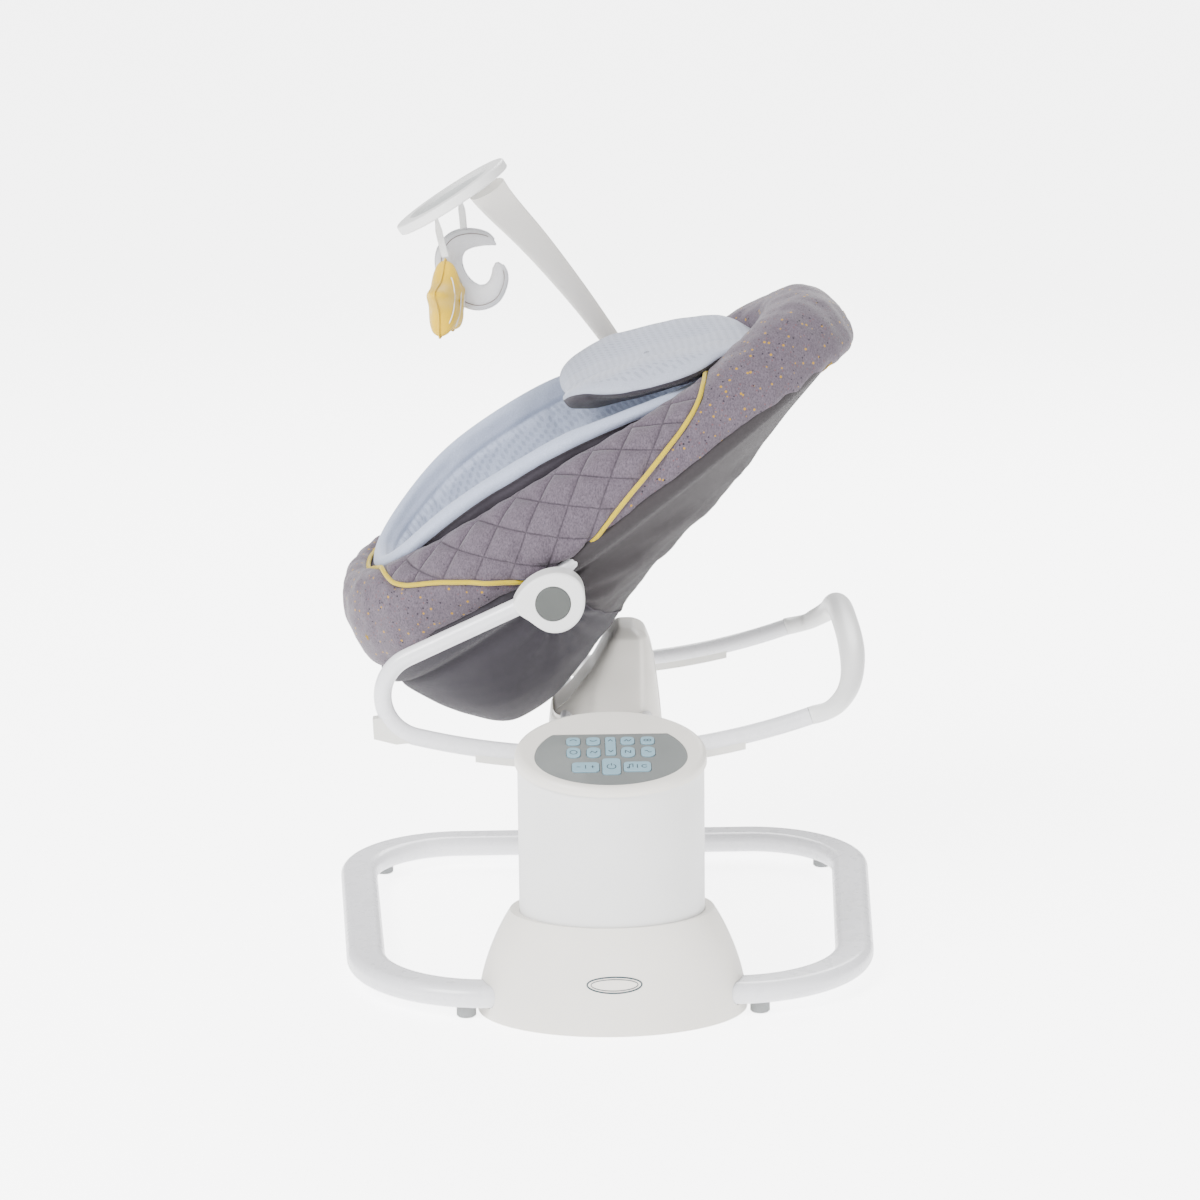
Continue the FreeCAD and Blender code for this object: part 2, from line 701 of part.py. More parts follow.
def under_wing(u0, u1):
    """Solid under the wings' edge line between u0 and u1."""
    corners = [V(u, v, wing_plane(u, v)) for u, v in ((u0, -300), (u1, -300), (u1, 300), (u0, 300))]
    return polygon_face(corners).extrude(V(0, 0, -400))


def make_insert():
    basin = insert_stack(0, 0, 205).cut(insert_stack(16, 16, 206))
    keep = under_wing(-300, wing_foot_u).fuse(under_wing(wing_foot_u, wing_head_u))
    basin = basin.common(keep.fuse(under_wing(wing_head_u, 400)))
    basin = max(basin.Solids, key=lambda piece: piece.Volume)
    put("body_insert", basin)


def make_pillow():
    outlines = []
    for inset, rise in ((16, 0.6), (3, 10), (0, 20), (5, 32), (22, 42)):
        points = []
        for k in range(28):
            angle = 2 * math.pi * (k + 0.5) / 28
            u = 230 + (114 - inset) * math.copysign(abs(math.cos(angle)) ** 0.85, math.cos(angle))
            v = (122 - inset) * math.copysign(abs(math.sin(angle)) ** 0.85, math.sin(angle))
            points.append(V(u, v, wing_w - wing_head_fall * (u - wing_head_u) + wing_side_rise * v + rise))
        outlines.append(closed_curve(points))
    put("head_pillow", Part.makeLoft(outlines, True, False))


def make_seat_frame():
    inset = 16.0
    outline = seat_outline(seat_mid_u - seat_half_u + inset, seat_mid_u + seat_half_u - inset, seat_half_v - inset,
                           level(rim_low[0] - frame_drop, rim_low[1]))
    edge = outline.Edges[0]
    start = edge.valueAt(edge.FirstParameter)
    along = edge.tangentAt(edge.FirstParameter)
    section = Part.Wire([Part.Circle(start, along, frame_tube).toShape()])
    bore = Part.Wire([Part.Circle(start, along, frame_tube - tube_wall).toShape()])
    tube = outline.makePipeShell([section], True, False)
    put("seat_ring_tube", tube.cut(outline.makePipeShell([bore], True, False)))

    brackets = []
    for side in (-1, 1):
        low, high = sorted((side * 178.5, side * (hub_inner - 1.0)))
        body = block(-24, 24, low, high, -16, 24)
        body = body.makeFillet(6, [e for e in body.Edges if e.BoundBox.YLength > 20])
        pin = rod(10, V(0, side * (hub_inner - 2), 0), V(0, side * (hub_inner + 11), 0))
        keep = rod(60, V(0, side * 150, 0), V(0, side * 240, 0))
        body = body.fuse(pin).common(keep).cut(tube)
        clear = block(-30, 30, min(side * 160, side * 197), max(side * 160, side * 197), 21, 40)
        body = body.cut(clear)
        body = max(body.Solids, key=lambda piece: piece.Volume)
        brackets.append(body)
    put("seat_brackets", Part.makeCompound(brackets))

    foot = block(socket_u - 12, socket_u + 12, 178, 216, 21, 38)
    riser = rod(9.5, V(socket_u, socket_v, 21), V(socket_u, socket_v, 74))
    socket = foot.fuse(riser).cut(rod(6 + run_gap, V(socket_u, socket_v, 42), V(socket_u, socket_v, 80))).cut(tube)
    socket = max(socket.Solids, key=lambda piece: piece.Volume)
    put("mobile_socket", socket)


def make_harness():
    floor_w = 10.6
    buckle = block(-60, -22, -21, 21, 32, 44)
    buckle = buckle.makeFillet(3, buckle.Edges)
    button_space = block(-47, -35, -9, 9, 38, 50)
    put("crotch_buckle", buckle.cut(button_space))
    button = block(-46.6, -35.4, -8.6, 8.6, 40.5, 44.8)
    put("buckle_button", button.makeFillet(0.8, [e for e in button.Edges if e.BoundBox.ZMin > 44.7]))
    crotch = block(-84, -60.2, -12, 12, floor_w + 14, floor_w + 16)
    straps = [crotch.fuse(block(-84, -82, -12, 12, floor_w, floor_w + 15))]
    for side in (-1, 1):
        low, high = sorted((side * 21.2, side * 64.0))
        belt = block(-50, -30, low, high, 36.5, 38.5)
        turn_low, turn_high = sorted((side * 62.0, side * 64.0))
        straps.append(belt.fuse(block(-50, -30, turn_low, turn_high, floor_w, 38)))
        straps.append(block(-21.8, 118, side * 14 - 9, side * 14 + 9, 36.5, 38.5))
    put("harness_webbing", Part.makeCompound([piece for strap in straps for piece in strap.Solids]))


# ---- mobile ----
def make_mobile():
    points = [V(192, 208, 76), V(192, 207.5, 100), V(192, 203, 126), V(191.5, 192, 156), V(190.5, 171, 205),
              V(188, 133, 270), V(183, 82, 342), V(178, 40, 392), V(178, 10, 419)]
    path = open_curve(points)

    def halves(t):
        return 10.5 + 12.5 * t ** 1.3, 9.0 - 1.5 * t

    arm = oval_loft(path, halves, X_AXIS, 21)
    arm = arm.fuse(rod(6, V(socket_u, socket_v, 44), V(socket_u, socket_v, 78)))
    hub = V(mobile_u, 0, mobile_w)
    ring = rod(mobile_radius, hub - V(0, 0, 6), hub + V(0, 0, 6))
    ring = ring.cut(rod(mobile_radius - 20, hub - V(0, 0, 4), hub + V(0, 0, 8)))
    ring = ring.cut(rod(mobile_radius - 26, hub - V(0, 0, 8), hub + V(0, 0, 0)))
    tray = rod(mobile_radius - 20.3, hub - V(0, 0, 3.8), hub + V(0, 0, 1.5))
    arm = arm.cut(rod(mobile_radius + 1, hub - V(0, 0, 6), hub + V(0, 0, 60)))
    arm = max(arm.Solids, key=lambda piece: piece.Volume)
    ring = ring.makeFillet(2.5, [e for e in ring.Edges if abs(e.Length - 2 * math.pi * mobile_radius) < 1])
    put("mobile_arm", arm)
    put("mobile_ring", ring)
    put("mobile_tray", tray)


def world_of(u, v, w):
    return seat_frame().multVec(V(u, v, w))


def strap_top(u, v):
    return world_of(u, v, mobile_w - 6.4)


# edge of the moon round its own centre: a crescent whose lower horn ends in a thick round tip
MOON_EDGE = ((-42, 11), (-40, 28), (-28, 42), (-5, 49), (17, 45), (30, 34), (27, 28), (11, 30), (-3, 24), (-10, 10),
             (-5, -7), (10, -19), (20, -16), (24, -4), (27, 8), (37, 7), (43, -10), (41, -28), (31, -43), (12, -49),
             (-8, -43), (-25, -30), (-37, -12))


def make_toys():
    hook = strap_top(146, 0)
    face_y = hook.y
    moon_centre = V(hook.x + 12, face_y, hook.z - 86)
    edge = [moon_centre + V(x, -12, z) for x, z in MOON_EDGE]
    moon = Part.Face(closed_curve(edge)).extrude(V(0, 24, 0))
    strap = block(hook.x - 4, hook.x + 4, face_y - 1, face_y + 1, moon_centre.z + 40, hook.z - 3)
    save("moon_toy", [moon, strap.cut(moon)])

    hook = strap_top(113, -32)
    star_centre = V(hook.x + 10, hook.y, hook.z - 100)
    points = []
    for k in range(10):
        radius = 53 if k % 2 == 0 else 29
        angle = math.pi / 2 + k * math.pi / 5
        points.append(star_centre + V(radius * math.cos(angle), 0, radius * math.sin(angle)))
    points.append(points[0])
    crest = [p * 0.35 + star_centre * 0.65 + V(0, -17, 0) for p in points]
    front = Part.makeLoft([Part.makePolygon(points), Part.makePolygon(crest)], True, True)
    back = front.mirror(star_centre, Y_AXIS)
    star = front.fuse(back).removeSplitter()
    tip = star_centre.z + 48
    strap = block(hook.x - 4, hook.x + 4, hook.y - 1, hook.y + 1, tip - 2, hook.z - 3)
    save("star_toy", [star, strap.cut(star)])


make_floor()
make_skirt()
make_deck()
make_tower()
make_head()
make_swivel()
make_arm()
make_rocker()
make_cover()
make_bag()
make_insert()
make_pillow()
make_seat_frame()
make_harness()
make_mobile()
make_toys()
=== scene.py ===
import json
import math

import bpy
import numpy as np
from mathutils import Matrix, Vector


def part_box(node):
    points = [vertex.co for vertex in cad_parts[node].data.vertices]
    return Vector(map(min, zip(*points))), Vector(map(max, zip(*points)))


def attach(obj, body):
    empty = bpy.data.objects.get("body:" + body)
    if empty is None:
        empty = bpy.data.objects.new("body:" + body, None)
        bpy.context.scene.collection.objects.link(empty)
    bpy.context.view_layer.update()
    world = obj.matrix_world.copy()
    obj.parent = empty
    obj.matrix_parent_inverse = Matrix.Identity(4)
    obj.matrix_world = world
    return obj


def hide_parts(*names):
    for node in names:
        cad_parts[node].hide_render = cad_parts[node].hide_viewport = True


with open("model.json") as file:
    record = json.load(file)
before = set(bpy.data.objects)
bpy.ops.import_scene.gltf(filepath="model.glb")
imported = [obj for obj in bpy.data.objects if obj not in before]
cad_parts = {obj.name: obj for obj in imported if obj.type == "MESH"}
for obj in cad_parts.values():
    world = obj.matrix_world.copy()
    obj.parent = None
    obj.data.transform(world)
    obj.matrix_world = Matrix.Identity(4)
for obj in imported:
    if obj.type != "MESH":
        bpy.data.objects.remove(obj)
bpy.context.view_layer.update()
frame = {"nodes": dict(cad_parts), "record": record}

# ---- frame values
MM = 0.001
JOINTS = {joint["name"]: joint for joint in frame["record"]["behaviour"]["joints"]}
HINGE = np.array(JOINTS["seat_recline"]["pos_m"], float)
SWAY_AXIS = np.array(JOINTS["sway"]["pos_m"], float)
SEAT_TILT = math.radians(32)
U_AXIS = np.array([math.cos(SEAT_TILT), 0.0, math.sin(SEAT_TILT)])
V_AXIS = np.array([0.0, 1.0, 0.0])
W_AXIS = np.array([-math.sin(SEAT_TILT), 0.0, math.cos(SEAT_TILT)])
HEAD_TILT = math.radians(15)
HEAD_CENTRE = np.array([0.0, SWAY_AXIS[1], 0.316])

# seat outline, in millimetres of the seat's own frame: u to the head, v to the back, w out of the seat
FOOT_U = -250.0
HEAD_U = 458.0
HALF_V = 200.0
FOOT_POWER = 2.5
HEAD_POWER = 2.1
SEAT_RUN = 708.0
WIDEST_RUN = 346.0
QUILT_PITCH = 42.0
QUILT = QUILT_PITCH * math.sqrt(2)


def seat_world(u, v, w):
    """Seat frame millimetres to row frame metres, for numbers or arrays."""
    u, v, w = np.broadcast_arrays(np.asarray(u, float), np.asarray(v, float), np.asarray(w, float))
    return HINGE + MM * (u[..., None] * U_AXIS + v[..., None] * V_AXIS + w[..., None] * W_AXIS)


def head_world(x, t, n):
    """Control head millimetres to metres: x right, t up the sloping panel, n out of it."""
    along = np.array([0.0, math.cos(HEAD_TILT), math.sin(HEAD_TILT)])
    out = np.array([0.0, -math.sin(HEAD_TILT), math.cos(HEAD_TILT)])
    x, t, n = np.broadcast_arrays(np.asarray(x, float), np.asarray(t, float), np.asarray(n, float))
    return HEAD_CENTRE + MM * (x[..., None] * np.array([1.0, 0, 0]) + t[..., None] * along + n[..., None] * out)


def smoothstep(x, low, high):
    t = np.clip((np.asarray(x, float) - low) / (high - low), 0, 1)
    return t * t * (3 - 2 * t)


def curve_through(points, count):
    """Catmull-Rom curve through points, resampled at even steps of length."""
    p = np.asarray(points, float)
    p = np.vstack([2 * p[0] - p[1], p, 2 * p[-1] - p[-2]])
    rows = []
    for i in range(1, len(p) - 2):
        for t in np.linspace(0, 1, 24, endpoint=False):
            a = 2 * p[i]
            b = p[i + 1] - p[i - 1]
            c = 2 * p[i - 1] - 5 * p[i] + 4 * p[i + 1] - p[i + 2]
            d = -p[i - 1] + 3 * p[i] - 3 * p[i + 1] + p[i + 2]
            rows.append(0.5 * (a + b * t + c * t * t + d * t ** 3))
    rows.append(p[-2])
    rows = np.array(rows)
    run = np.concatenate([[0], np.cumsum(np.linalg.norm(np.diff(rows, axis=0), axis=1))])
    at = np.linspace(0, run[-1], count)
    return np.stack([np.interp(at, run, rows[:, k]) for k in range(p.shape[1])], axis=1)


def waves(p, seed, scale, octaves=4):
    """Smooth repeatable noise from summed sines, about -1 to 1; p is (..., 3) in metres."""
    rng = np.random.default_rng(seed)
    total = np.zeros(p.shape[:-1])
    weight = 0.0
    for k in range(octaves):
        size = scale / 1.7 ** k
        for _ in range(4):
            direction = rng.normal(size=3)
            direction /= np.linalg.norm(direction)
            total += np.sin(p @ direction * (2 * math.pi / size) + rng.uniform(0, 6.28)) * 0.6 ** k * 0.5
        weight += 0.6 ** k
    return total / weight


# ---- mesh helpers
def new_object(name, verts, faces, material, smooth=True):
    mesh = bpy.data.meshes.new(name)
    mesh.from_pydata([tuple(v) for v in np.asarray(verts, float)], [], [tuple(int(i) for i in f) for f in faces])
    mesh.update()
    obj = bpy.data.objects.new(name, mesh)
    bpy.context.scene.collection.objects.link(obj)
    for entry in (material if isinstance(material, list) else [material]):
        mesh.materials.append(entry)
    if smooth:
        mesh.polygons.foreach_set("use_smooth", [True] * len(mesh.polygons))
    return obj


def grid_faces(rows, columns, wrap_rows, wrap_columns, start=0):
    i = np.arange(rows if wrap_rows else rows - 1)
    j = np.arange(columns if wrap_columns else columns - 1)
    i, j = np.meshgrid(i, j, indexing="ij")
    i2 = (i + 1) % rows
    j2 = (j + 1) % columns
    quads = np.stack([i * columns + j, i2 * columns + j, i2 * columns + j2, i * columns + j2], axis=-1)
    return (quads.reshape(-1, 4) + start).tolist()


def grid_object(name, points, material, wrap_rows=False, wrap_columns=False, caps=False):
    rows, columns = points.shape[:2]
    faces = grid_faces(rows, columns, wrap_rows, wrap_columns)
    if caps and wrap_columns:
        faces.append(list(range(columns))[::-1])
        faces.append(list(range((rows - 1) * columns, rows * columns)))
    return new_object(name, points.reshape(-1, 3), faces, material)


def grid_normals(points, wrap_rows, wrap_columns):
    def step(axis, wrap):
        if wrap:
            return np.roll(points, -1, axis) - np.roll(points, 1, axis)
        return np.gradient(points, axis=axis)
    n = np.cross(step(0, wrap_rows), step(1, wrap_columns))
    return n / np.maximum(np.linalg.norm(n, axis=-1, keepdims=True), 1e-12)


def add_attribute(obj, name, values):
    layer = obj.data.attributes.new(name, "FLOAT", "POINT")
    layer.data.foreach_set("value", np.asarray(values, np.float32).ravel())


def tube(name, path, radius, material, sides=12, flat=1.0, side=None):
    """Tube along a path of metres, closed where the path is; side is the direction that flat squeezes."""
    path = np.asarray(path, float)
    closed = np.linalg.norm(path[0] - path[-1]) < 1e-6
    t = np.gradient(path, axis=0)
    t /= np.linalg.norm(t, axis=1, keepdims=True)
    across = np.array([0.13, 0.27, 0.95])
    angle = np.linspace(0, 2 * math.pi, sides, endpoint=False)[:, None]
    rings = []
    for k in range(len(path)):
        base = across if side is None else np.asarray(side, float)
        across = base - t[k] * (base @ t[k])
        across /= np.linalg.norm(across)
        up = np.cross(t[k], across)
        r = radius[k] if np.ndim(radius) else radius
        rings.append(path[k] + r * (np.cos(angle) * across * flat + np.sin(angle) * up))
    rings = np.array(rings)
    if closed:
        return grid_object(name, rings[:-1], material, wrap_rows=True, wrap_columns=True)
    return grid_object(name, rings, material, wrap_columns=True, caps=True)


def ribbon(name, path, side, width, thickness, material):
    """A flat strap: path (n, 3) metres, side (3,) across it, width one number or (n, 1)."""
    path = np.asarray(path, float)
    t = np.gradient(path, axis=0)
    t /= np.linalg.norm(t, axis=1, keepdims=True)
    side = np.broadcast_to(np.asarray(side, float), path.shape)
    side = side - t * np.sum(side * t, axis=1, keepdims=True)
    side /= np.linalg.norm(side, axis=1, keepdims=True)
    up = np.cross(t, side)
    cross = [(-1.0, -0.6), (-0.96, -1), (-0.5, -1), (0, -1), (0.5, -1), (0.96, -1), (1, -0.6),
             (1, 0.6), (0.96, 1), (0.5, 1), (0, 1), (-0.5, 1), (-0.96, 1), (-1, 0.6)]
    rings = [path + side * (a * width / 2) + up * (b * thickness / 2) for a, b in cross]
    return grid_object(name, np.stack(rings, axis=1), material, wrap_columns=True, caps=True)


def join(name, objects):
    bpy.ops.object.select_all(action="DESELECT")
    for obj in objects:
        obj.select_set(True)
    bpy.context.view_layer.objects.active = objects[0]
    bpy.ops.object.join()
    objects[0].name = name
    objects[0].data.name = name
    return objects[0]


CLOTH_STIFFNESS = 12.0


def cloth_puff(obj, pressure, cap, frames, keep=None):
    """Inflate a closed sewn shell with Blender's cloth, then keep the result as the mesh."""
    mesh = obj.data
    rest = np.empty(len(mesh.vertices) * 3)
    mesh.vertices.foreach_get("co", rest)
    cloth = obj.modifiers.new("cloth", "CLOTH")
    settings = cloth.settings
    settings.quality = 5
    settings.mass = 0.25
    settings.tension_stiffness = CLOTH_STIFFNESS
    settings.compression_stiffness = CLOTH_STIFFNESS
    settings.shear_stiffness = CLOTH_STIFFNESS / 2
    settings.bending_stiffness = 0.6
    settings.use_pressure = True
    settings.uniform_pressure_force = pressure
    settings.effector_weights.gravity = 0
    cloth.collision_settings.use_collision = False
    cloth.point_cache.frame_start = 1
    cloth.point_cache.frame_end = frames
    if keep is not None:
        group = obj.vertex_groups.new(name="pin")
        for i in np.nonzero(keep > 0)[0]:
            group.add([int(i)], float(keep[i]), "REPLACE")
        settings.vertex_group_mass = "pin"
    for k in range(1, frames + 1):
        bpy.context.scene.frame_set(k)
    shaped = obj.evaluated_get(bpy.context.evaluated_depsgraph_get())
    moved = np.empty(len(mesh.vertices) * 3)
    shaped.data.vertices.foreach_get("co", moved)
    obj.modifiers.remove(cloth)
    bpy.context.scene.frame_set(1)
    step = (moved - rest).reshape(-1, 3)
    length = np.linalg.norm(step, axis=1, keepdims=True)
    step *= np.minimum(1.0, cap / np.maximum(length, 1e-9))
    mesh.vertices.foreach_set("co", (rest.reshape(-1, 3) + step).ravel())
    mesh.update()


def subdivide(obj):
    modifier = obj.modifiers.new("smooth", "SUBSURF")
    modifier.levels = 1
    modifier.render_levels = 1


def coords(obj):
    out = np.empty(len(obj.data.vertices) * 3)
    obj.data.vertices.foreach_get("co", out)
    return out.reshape(-1, 3)


def set_coords(obj, points):
    obj.data.vertices.foreach_set("co", points.ravel())
    obj.data.update()


def facing(normals, probe, axis):
    """The normals, turned over where the one at probe points against the axis."""
    return -normals if normals[probe] @ axis < 0 else normals


# ---- materials
class Shader:
    """Small helper that builds a Principled material from nodes."""

    def __init__(self, name, color, roughness, **sockets):
        self.material = bpy.data.materials.new(name)
        self.material.use_nodes = True
        self.tree = self.material.node_tree
        self.surface = self.tree.nodes["Principled BSDF"]
        self.material.diffuse_color = (*color, 1)
        self.surface.inputs["Base Color"].default_value = (*color, 1)
        self.surface.inputs["Roughness"].default_value = roughness
        for key, value in sockets.items():
            self.surface.inputs[key.replace("_", " ")].default_value = value
        self.coordinate = self.add("ShaderNodeTexCoord").outputs["Object"]

    def add(self, kind, settings=None, **inputs):
        node = self.tree.nodes.new(kind)
        for key, value in (settings or {}).items():
            setattr(node, key, value)
        for key, value in inputs.items():
            self.connect(value, node.inputs[key.replace("_", " ")])
        return node

    def connect(self, value, socket):
        if isinstance(value, bpy.types.NodeSocket):
            self.tree.links.new(value, socket)
        else:
            socket.default_value = value

    def stretched(self, scale):
        node = self.add("ShaderNodeMapping", Vector=self.coordinate)
        node.inputs["Scale"].default_value = scale
        return node.outputs["Vector"]

    def noise(self, scale, detail=3.0, roughness=0.55, vector=None):
        node = self.add("ShaderNodeTexNoise", Vector=vector or self.coordinate, Scale=scale, Detail=detail,
                        Roughness=roughness)
        return node.outputs["Fac"]

    def math(self, operation, a, b=0.0):
        node = self.add("ShaderNodeMath", {"operation": operation})
        self.connect(a, node.inputs[0])
        self.connect(b, node.inputs[1])
        return node.outputs[0]

    def remap(self, value, low, high, to_low=0.0, to_high=1.0):
        return self.add("ShaderNodeMapRange", Value=value, From_Min=low, From_Max=high, To_Min=to_low,
                        To_Max=to_high).outputs["Result"]

    def mix(self, factor, a, b):
        node = self.add("ShaderNodeMix", {"data_type": "RGBA"})
        self.connect(factor, node.inputs[0])
        for socket, value in ((node.inputs[6], a), (node.inputs[7], b)):
            if isinstance(value, bpy.types.NodeSocket):
                self.tree.links.new(value, socket)
            else:
                socket.default_value = (*value, 1)
        return node.outputs[2]

    def attribute(self, name):
        return self.add("ShaderNodeAttribute", {"attribute_name": name}).outputs["Fac"]

    def color(self, value):
        self.connect(value, self.surface.inputs["Base Color"])

    def rough(self, value):
        self.connect(value, self.surface.inputs["Roughness"])

    def bump(self, height, strength, distance):
        node = self.add("ShaderNodeBump", Height=height, Strength=strength, Distance=distance)
        self.tree.links.new(node.outputs["Normal"], self.surface.inputs["Normal"])


def srgb(r, g, b):
    """Base colour whose lit, tone-mapped look is close to these display values."""
    channels = []
    for c in (r, g, b):
        linear = (c / 255 / 12.92) if c / 255 <= 0.04045 else ((c / 255 + 0.055) / 1.055) ** 2.4
        channels.append(float(linear * (0.48 + 0.42 * smoothstep(linear, 0.35, 0.85))))
    return tuple(channels)


def moulded(name, color, roughness=0.38, grain=900.0, depth=0.00005, coat=0.0):
    s = Shader(name, color, roughness, Coat_Weight=coat, Specular_IOR_Level=0.45)
    fine = s.noise(grain, 2.0)
    broad = s.noise(9.0, 2.0)
    dark = tuple(c * 0.955 for c in color)
    s.color(s.mix(s.remap(broad, 0.35, 0.7), dark, color))
    s.rough(s.remap(s.noise(45.0, 3.0), 0.3, 0.7, roughness - 0.05, roughness + 0.07))
    s.bump(fine, 0.35, depth)
    return s.material


def painted(name, color):
    s = Shader(name, color, 0.28, Coat_Weight=0.35, Coat_Roughness=0.12, Specular_IOR_Level=0.5)
    s.color(s.mix(s.remap(s.noise(7.0, 2.0), 0.35, 0.7), tuple(c * 0.96 for c in color), color))
    s.rough(s.remap(s.noise(60.0, 3.0), 0.3, 0.7, 0.24, 0.34))
    s.bump(s.noise(260.0, 2.0), 0.12, 0.00003)
    return s.material


def metal(name, color, roughness):
    s = Shader(name, color, roughness, Metallic=1.0)
    streak = s.noise(120.0, 4.0, vector=s.stretched((1.0, 1.0, 12.0)))
    s.color(s.mix(s.remap(streak, 0.3, 0.7), tuple(c * 0.8 for c in color), color))
    s.rough(s.remap(streak, 0.3, 0.7, roughness - 0.06, roughness + 0.1))
    s.bump(streak, 0.2, 0.00004)
    return s.material


def weave(s, pitch):
    """Height of a plain weave: crossed sine ridges at that thread pitch in metres."""
    split = s.add("ShaderNodeSeparateXYZ", Vector=s.coordinate)
    k = 2 * math.pi / pitch
    a = s.math("SINE", s.math("MULTIPLY", s.math("ADD", split.outputs["X"], split.outputs["Y"]), k))
    b = s.math("SINE", s.math("MULTIPLY", s.math("SUBTRACT", split.outputs["Z"], split.outputs["Y"]), k))
    return s.math("MULTIPLY", a, b)


def heather(name, printed):
    """Mauve-grey marl knit; with printed=True the attribute 'print' brings in speckles."""
    light = srgb(145, 132, 147)
    dark = srgb(92, 81, 93)
    s = Shader(name, light, 0.9, Sheen_Weight=0.25, Sheen_Roughness=0.5, Specular_IOR_Level=0.2)
    fleck = s.noise(620.0, 4.0, 0.7, s.stretched((1.0, 1.0, 0.55)))
    cloud = s.noise(90.0, 3.0, 0.6)
    color = s.mix(s.remap(fleck, 0.33, 0.66), dark, light)
    color = s.mix(s.remap(cloud, 0.3, 0.7, 0.0, 0.3), color, srgb(109, 97, 109))
    if printed:
        mask = s.attribute("print")
        for scale, size, seed, tint in ((95.0, 0.17, 0.0, srgb(196, 168, 44)), (120.0, 0.17, 3.1, srgb(70, 60, 74)),
                                        (150.0, 0.19, 7.7, srgb(134, 98, 105)), (62.0, 0.10, 11.3, srgb(58, 52, 62))):
            shifted = s.add("ShaderNodeVectorMath", {"operation": "ADD"})
            s.connect(s.coordinate, shifted.inputs[0])
            shifted.inputs[1].default_value = (seed, seed * 0.7, seed * 1.3)
            cells = s.add("ShaderNodeTexVoronoi", Vector=shifted.outputs[0], Scale=scale, Randomness=1.0)
            spot = s.remap(cells.outputs["Distance"], size, size * 0.72)
            spot = s.math("MULTIPLY", spot, mask)
            color = s.mix(spot, color, tint)
        half = QUILT / 2
        line = s.math("MINIMUM", s.math("PINGPONG", s.attribute("quilt_a"), half),
                      s.math("PINGPONG", s.attribute("quilt_b"), half))
        # darker band along the quilt lines: the stitch line, plus painted shade in the grooves that the cover's puff
        # sinks there
        stitch_and_groove_shade = s.math("MULTIPLY", s.remap(line, 2.2, 0.9), s.attribute("quilted"))
        color = s.mix(s.math("MULTIPLY", stitch_and_groove_shade, 0.55), color, srgb(58, 50, 58))
    s.color(color)
    s.bump(s.math("ADD", s.math("MULTIPLY", fleck, 0.7), s.math("MULTIPLY", weave(s, 0.0016), 0.12)), 0.55, 0.0006)
    return s.material


def plain_cloth(name, color, pitch=0.0009, depth=0.00025, sheen=0.15, mottling=0.12, other=None):
    s = Shader(name, color, 0.82, Sheen_Weight=sheen, Sheen_Roughness=0.45, Specular_IOR_Level=0.25)
    thread = s.noise(900.0, 3.0, 0.65)
    base = color
    faded = tuple(c * (1 - mottling * 2) for c in color)
    if other is not None:
        base = s.mix(s.attribute("zone"), color, other)
        faded = s.mix(s.attribute("zone"), faded, tuple(c * (1 - mottling * 2) for c in other))
    s.color(s.mix(s.remap(thread, 0.35, 0.65, 0.0, 0.6), base, faded))
    s.bump(s.math("ADD", weave(s, pitch), s.math("MULTIPLY", thread, 0.8)), 0.5, depth)
    return s.material


LOZENGE_PITCH = 0.0105


def textured_knit(name, color, shade):
    """Light knit with rows of small raised lozenges; attribute 'border' turns the lozenges off. shade is a shaded
    copy of color: the lozenges are pulled towards it as painted shade, and the thread noise mixes towards it as
    random tone.
    """
    s = Shader(name, color, 0.85, Sheen_Weight=0.3, Sheen_Roughness=0.4, Specular_IOR_Level=0.2)
    lozenge_relief_and_shade = s.math("MULTIPLY", s.remap(weave(s, LOZENGE_PITCH), 0.05, 0.55),
                     s.math("SUBTRACT", 1.0, s.attribute("border")))
    thread = s.noise(800.0, 3.0, 0.6)
    tone = s.mix(s.remap(thread, 0.35, 0.65, 0.0, 0.45), color, shade)
    # painted shade: the lozenge cells, which the bump sets lower, are darkened 42 % towards the shaded copy
    s.color(s.mix(s.math("MULTIPLY", lozenge_relief_and_shade, 0.42), tone, shade))
    s.bump(s.math("ADD", s.math("MULTIPLY", thread, 0.5), s.math("MULTIPLY", lozenge_relief_and_shade, -0.8)), 0.5, 0.0006)
    return s.material


WARM_WHITE = moulded("warm_white", srgb(240, 236, 230), 0.40)
WHITE = moulded("white_plastic", srgb(238, 238, 237), 0.36)
PAINT = painted("white_paint", srgb(236, 236, 240))
PANEL = moulded("panel_grey_satin", srgb(164, 168, 167), 0.34, 1500.0, 0.00003, coat=0.2)
KEY = moulded("key_silicone", srgb(176, 197, 205), 0.5, 1200.0)
INK = moulded("symbol_ink", srgb(72, 88, 98), 0.5)
BUTTON = moulded("button_grey", srgb(104, 108, 105), 0.42)
PAD = moulded("pad_plastic", srgb(232, 231, 227), 0.55)
INNER = moulded("inner_plastic", srgb(198, 197, 193), 0.45)
BLACK = moulded("black_plastic", srgb(38, 38, 40), 0.45)
NYLON = moulded("nylon", srgb(226, 223, 206), 0.4)
BOARD = moulded("circuit_board", srgb(36, 98, 62), 0.35)
RUBBER = moulded("foot_rubber", srgb(176, 178, 178), 0.75, 600.0, 0.0001)
BUCKLE = moulded("buckle_plastic", srgb(98, 100, 104), 0.42)
TRAY = moulded("tray_grey", srgb(205, 207, 207), 0.35)
STEEL = metal("plated_steel", srgb(182, 184, 188), 0.32)
CAN = metal("motor_can", srgb(160, 162, 165), 0.38)
HEATHER = heather("heather_knit", True)
LINING = heather("heather_lining", False)
SLING = plain_cloth("sling_cloth", srgb(73, 69, 77), other=srgb(79, 74, 77), mottling=0.06)
UNDER = plain_cloth("under_cloth", srgb(84, 78, 88))
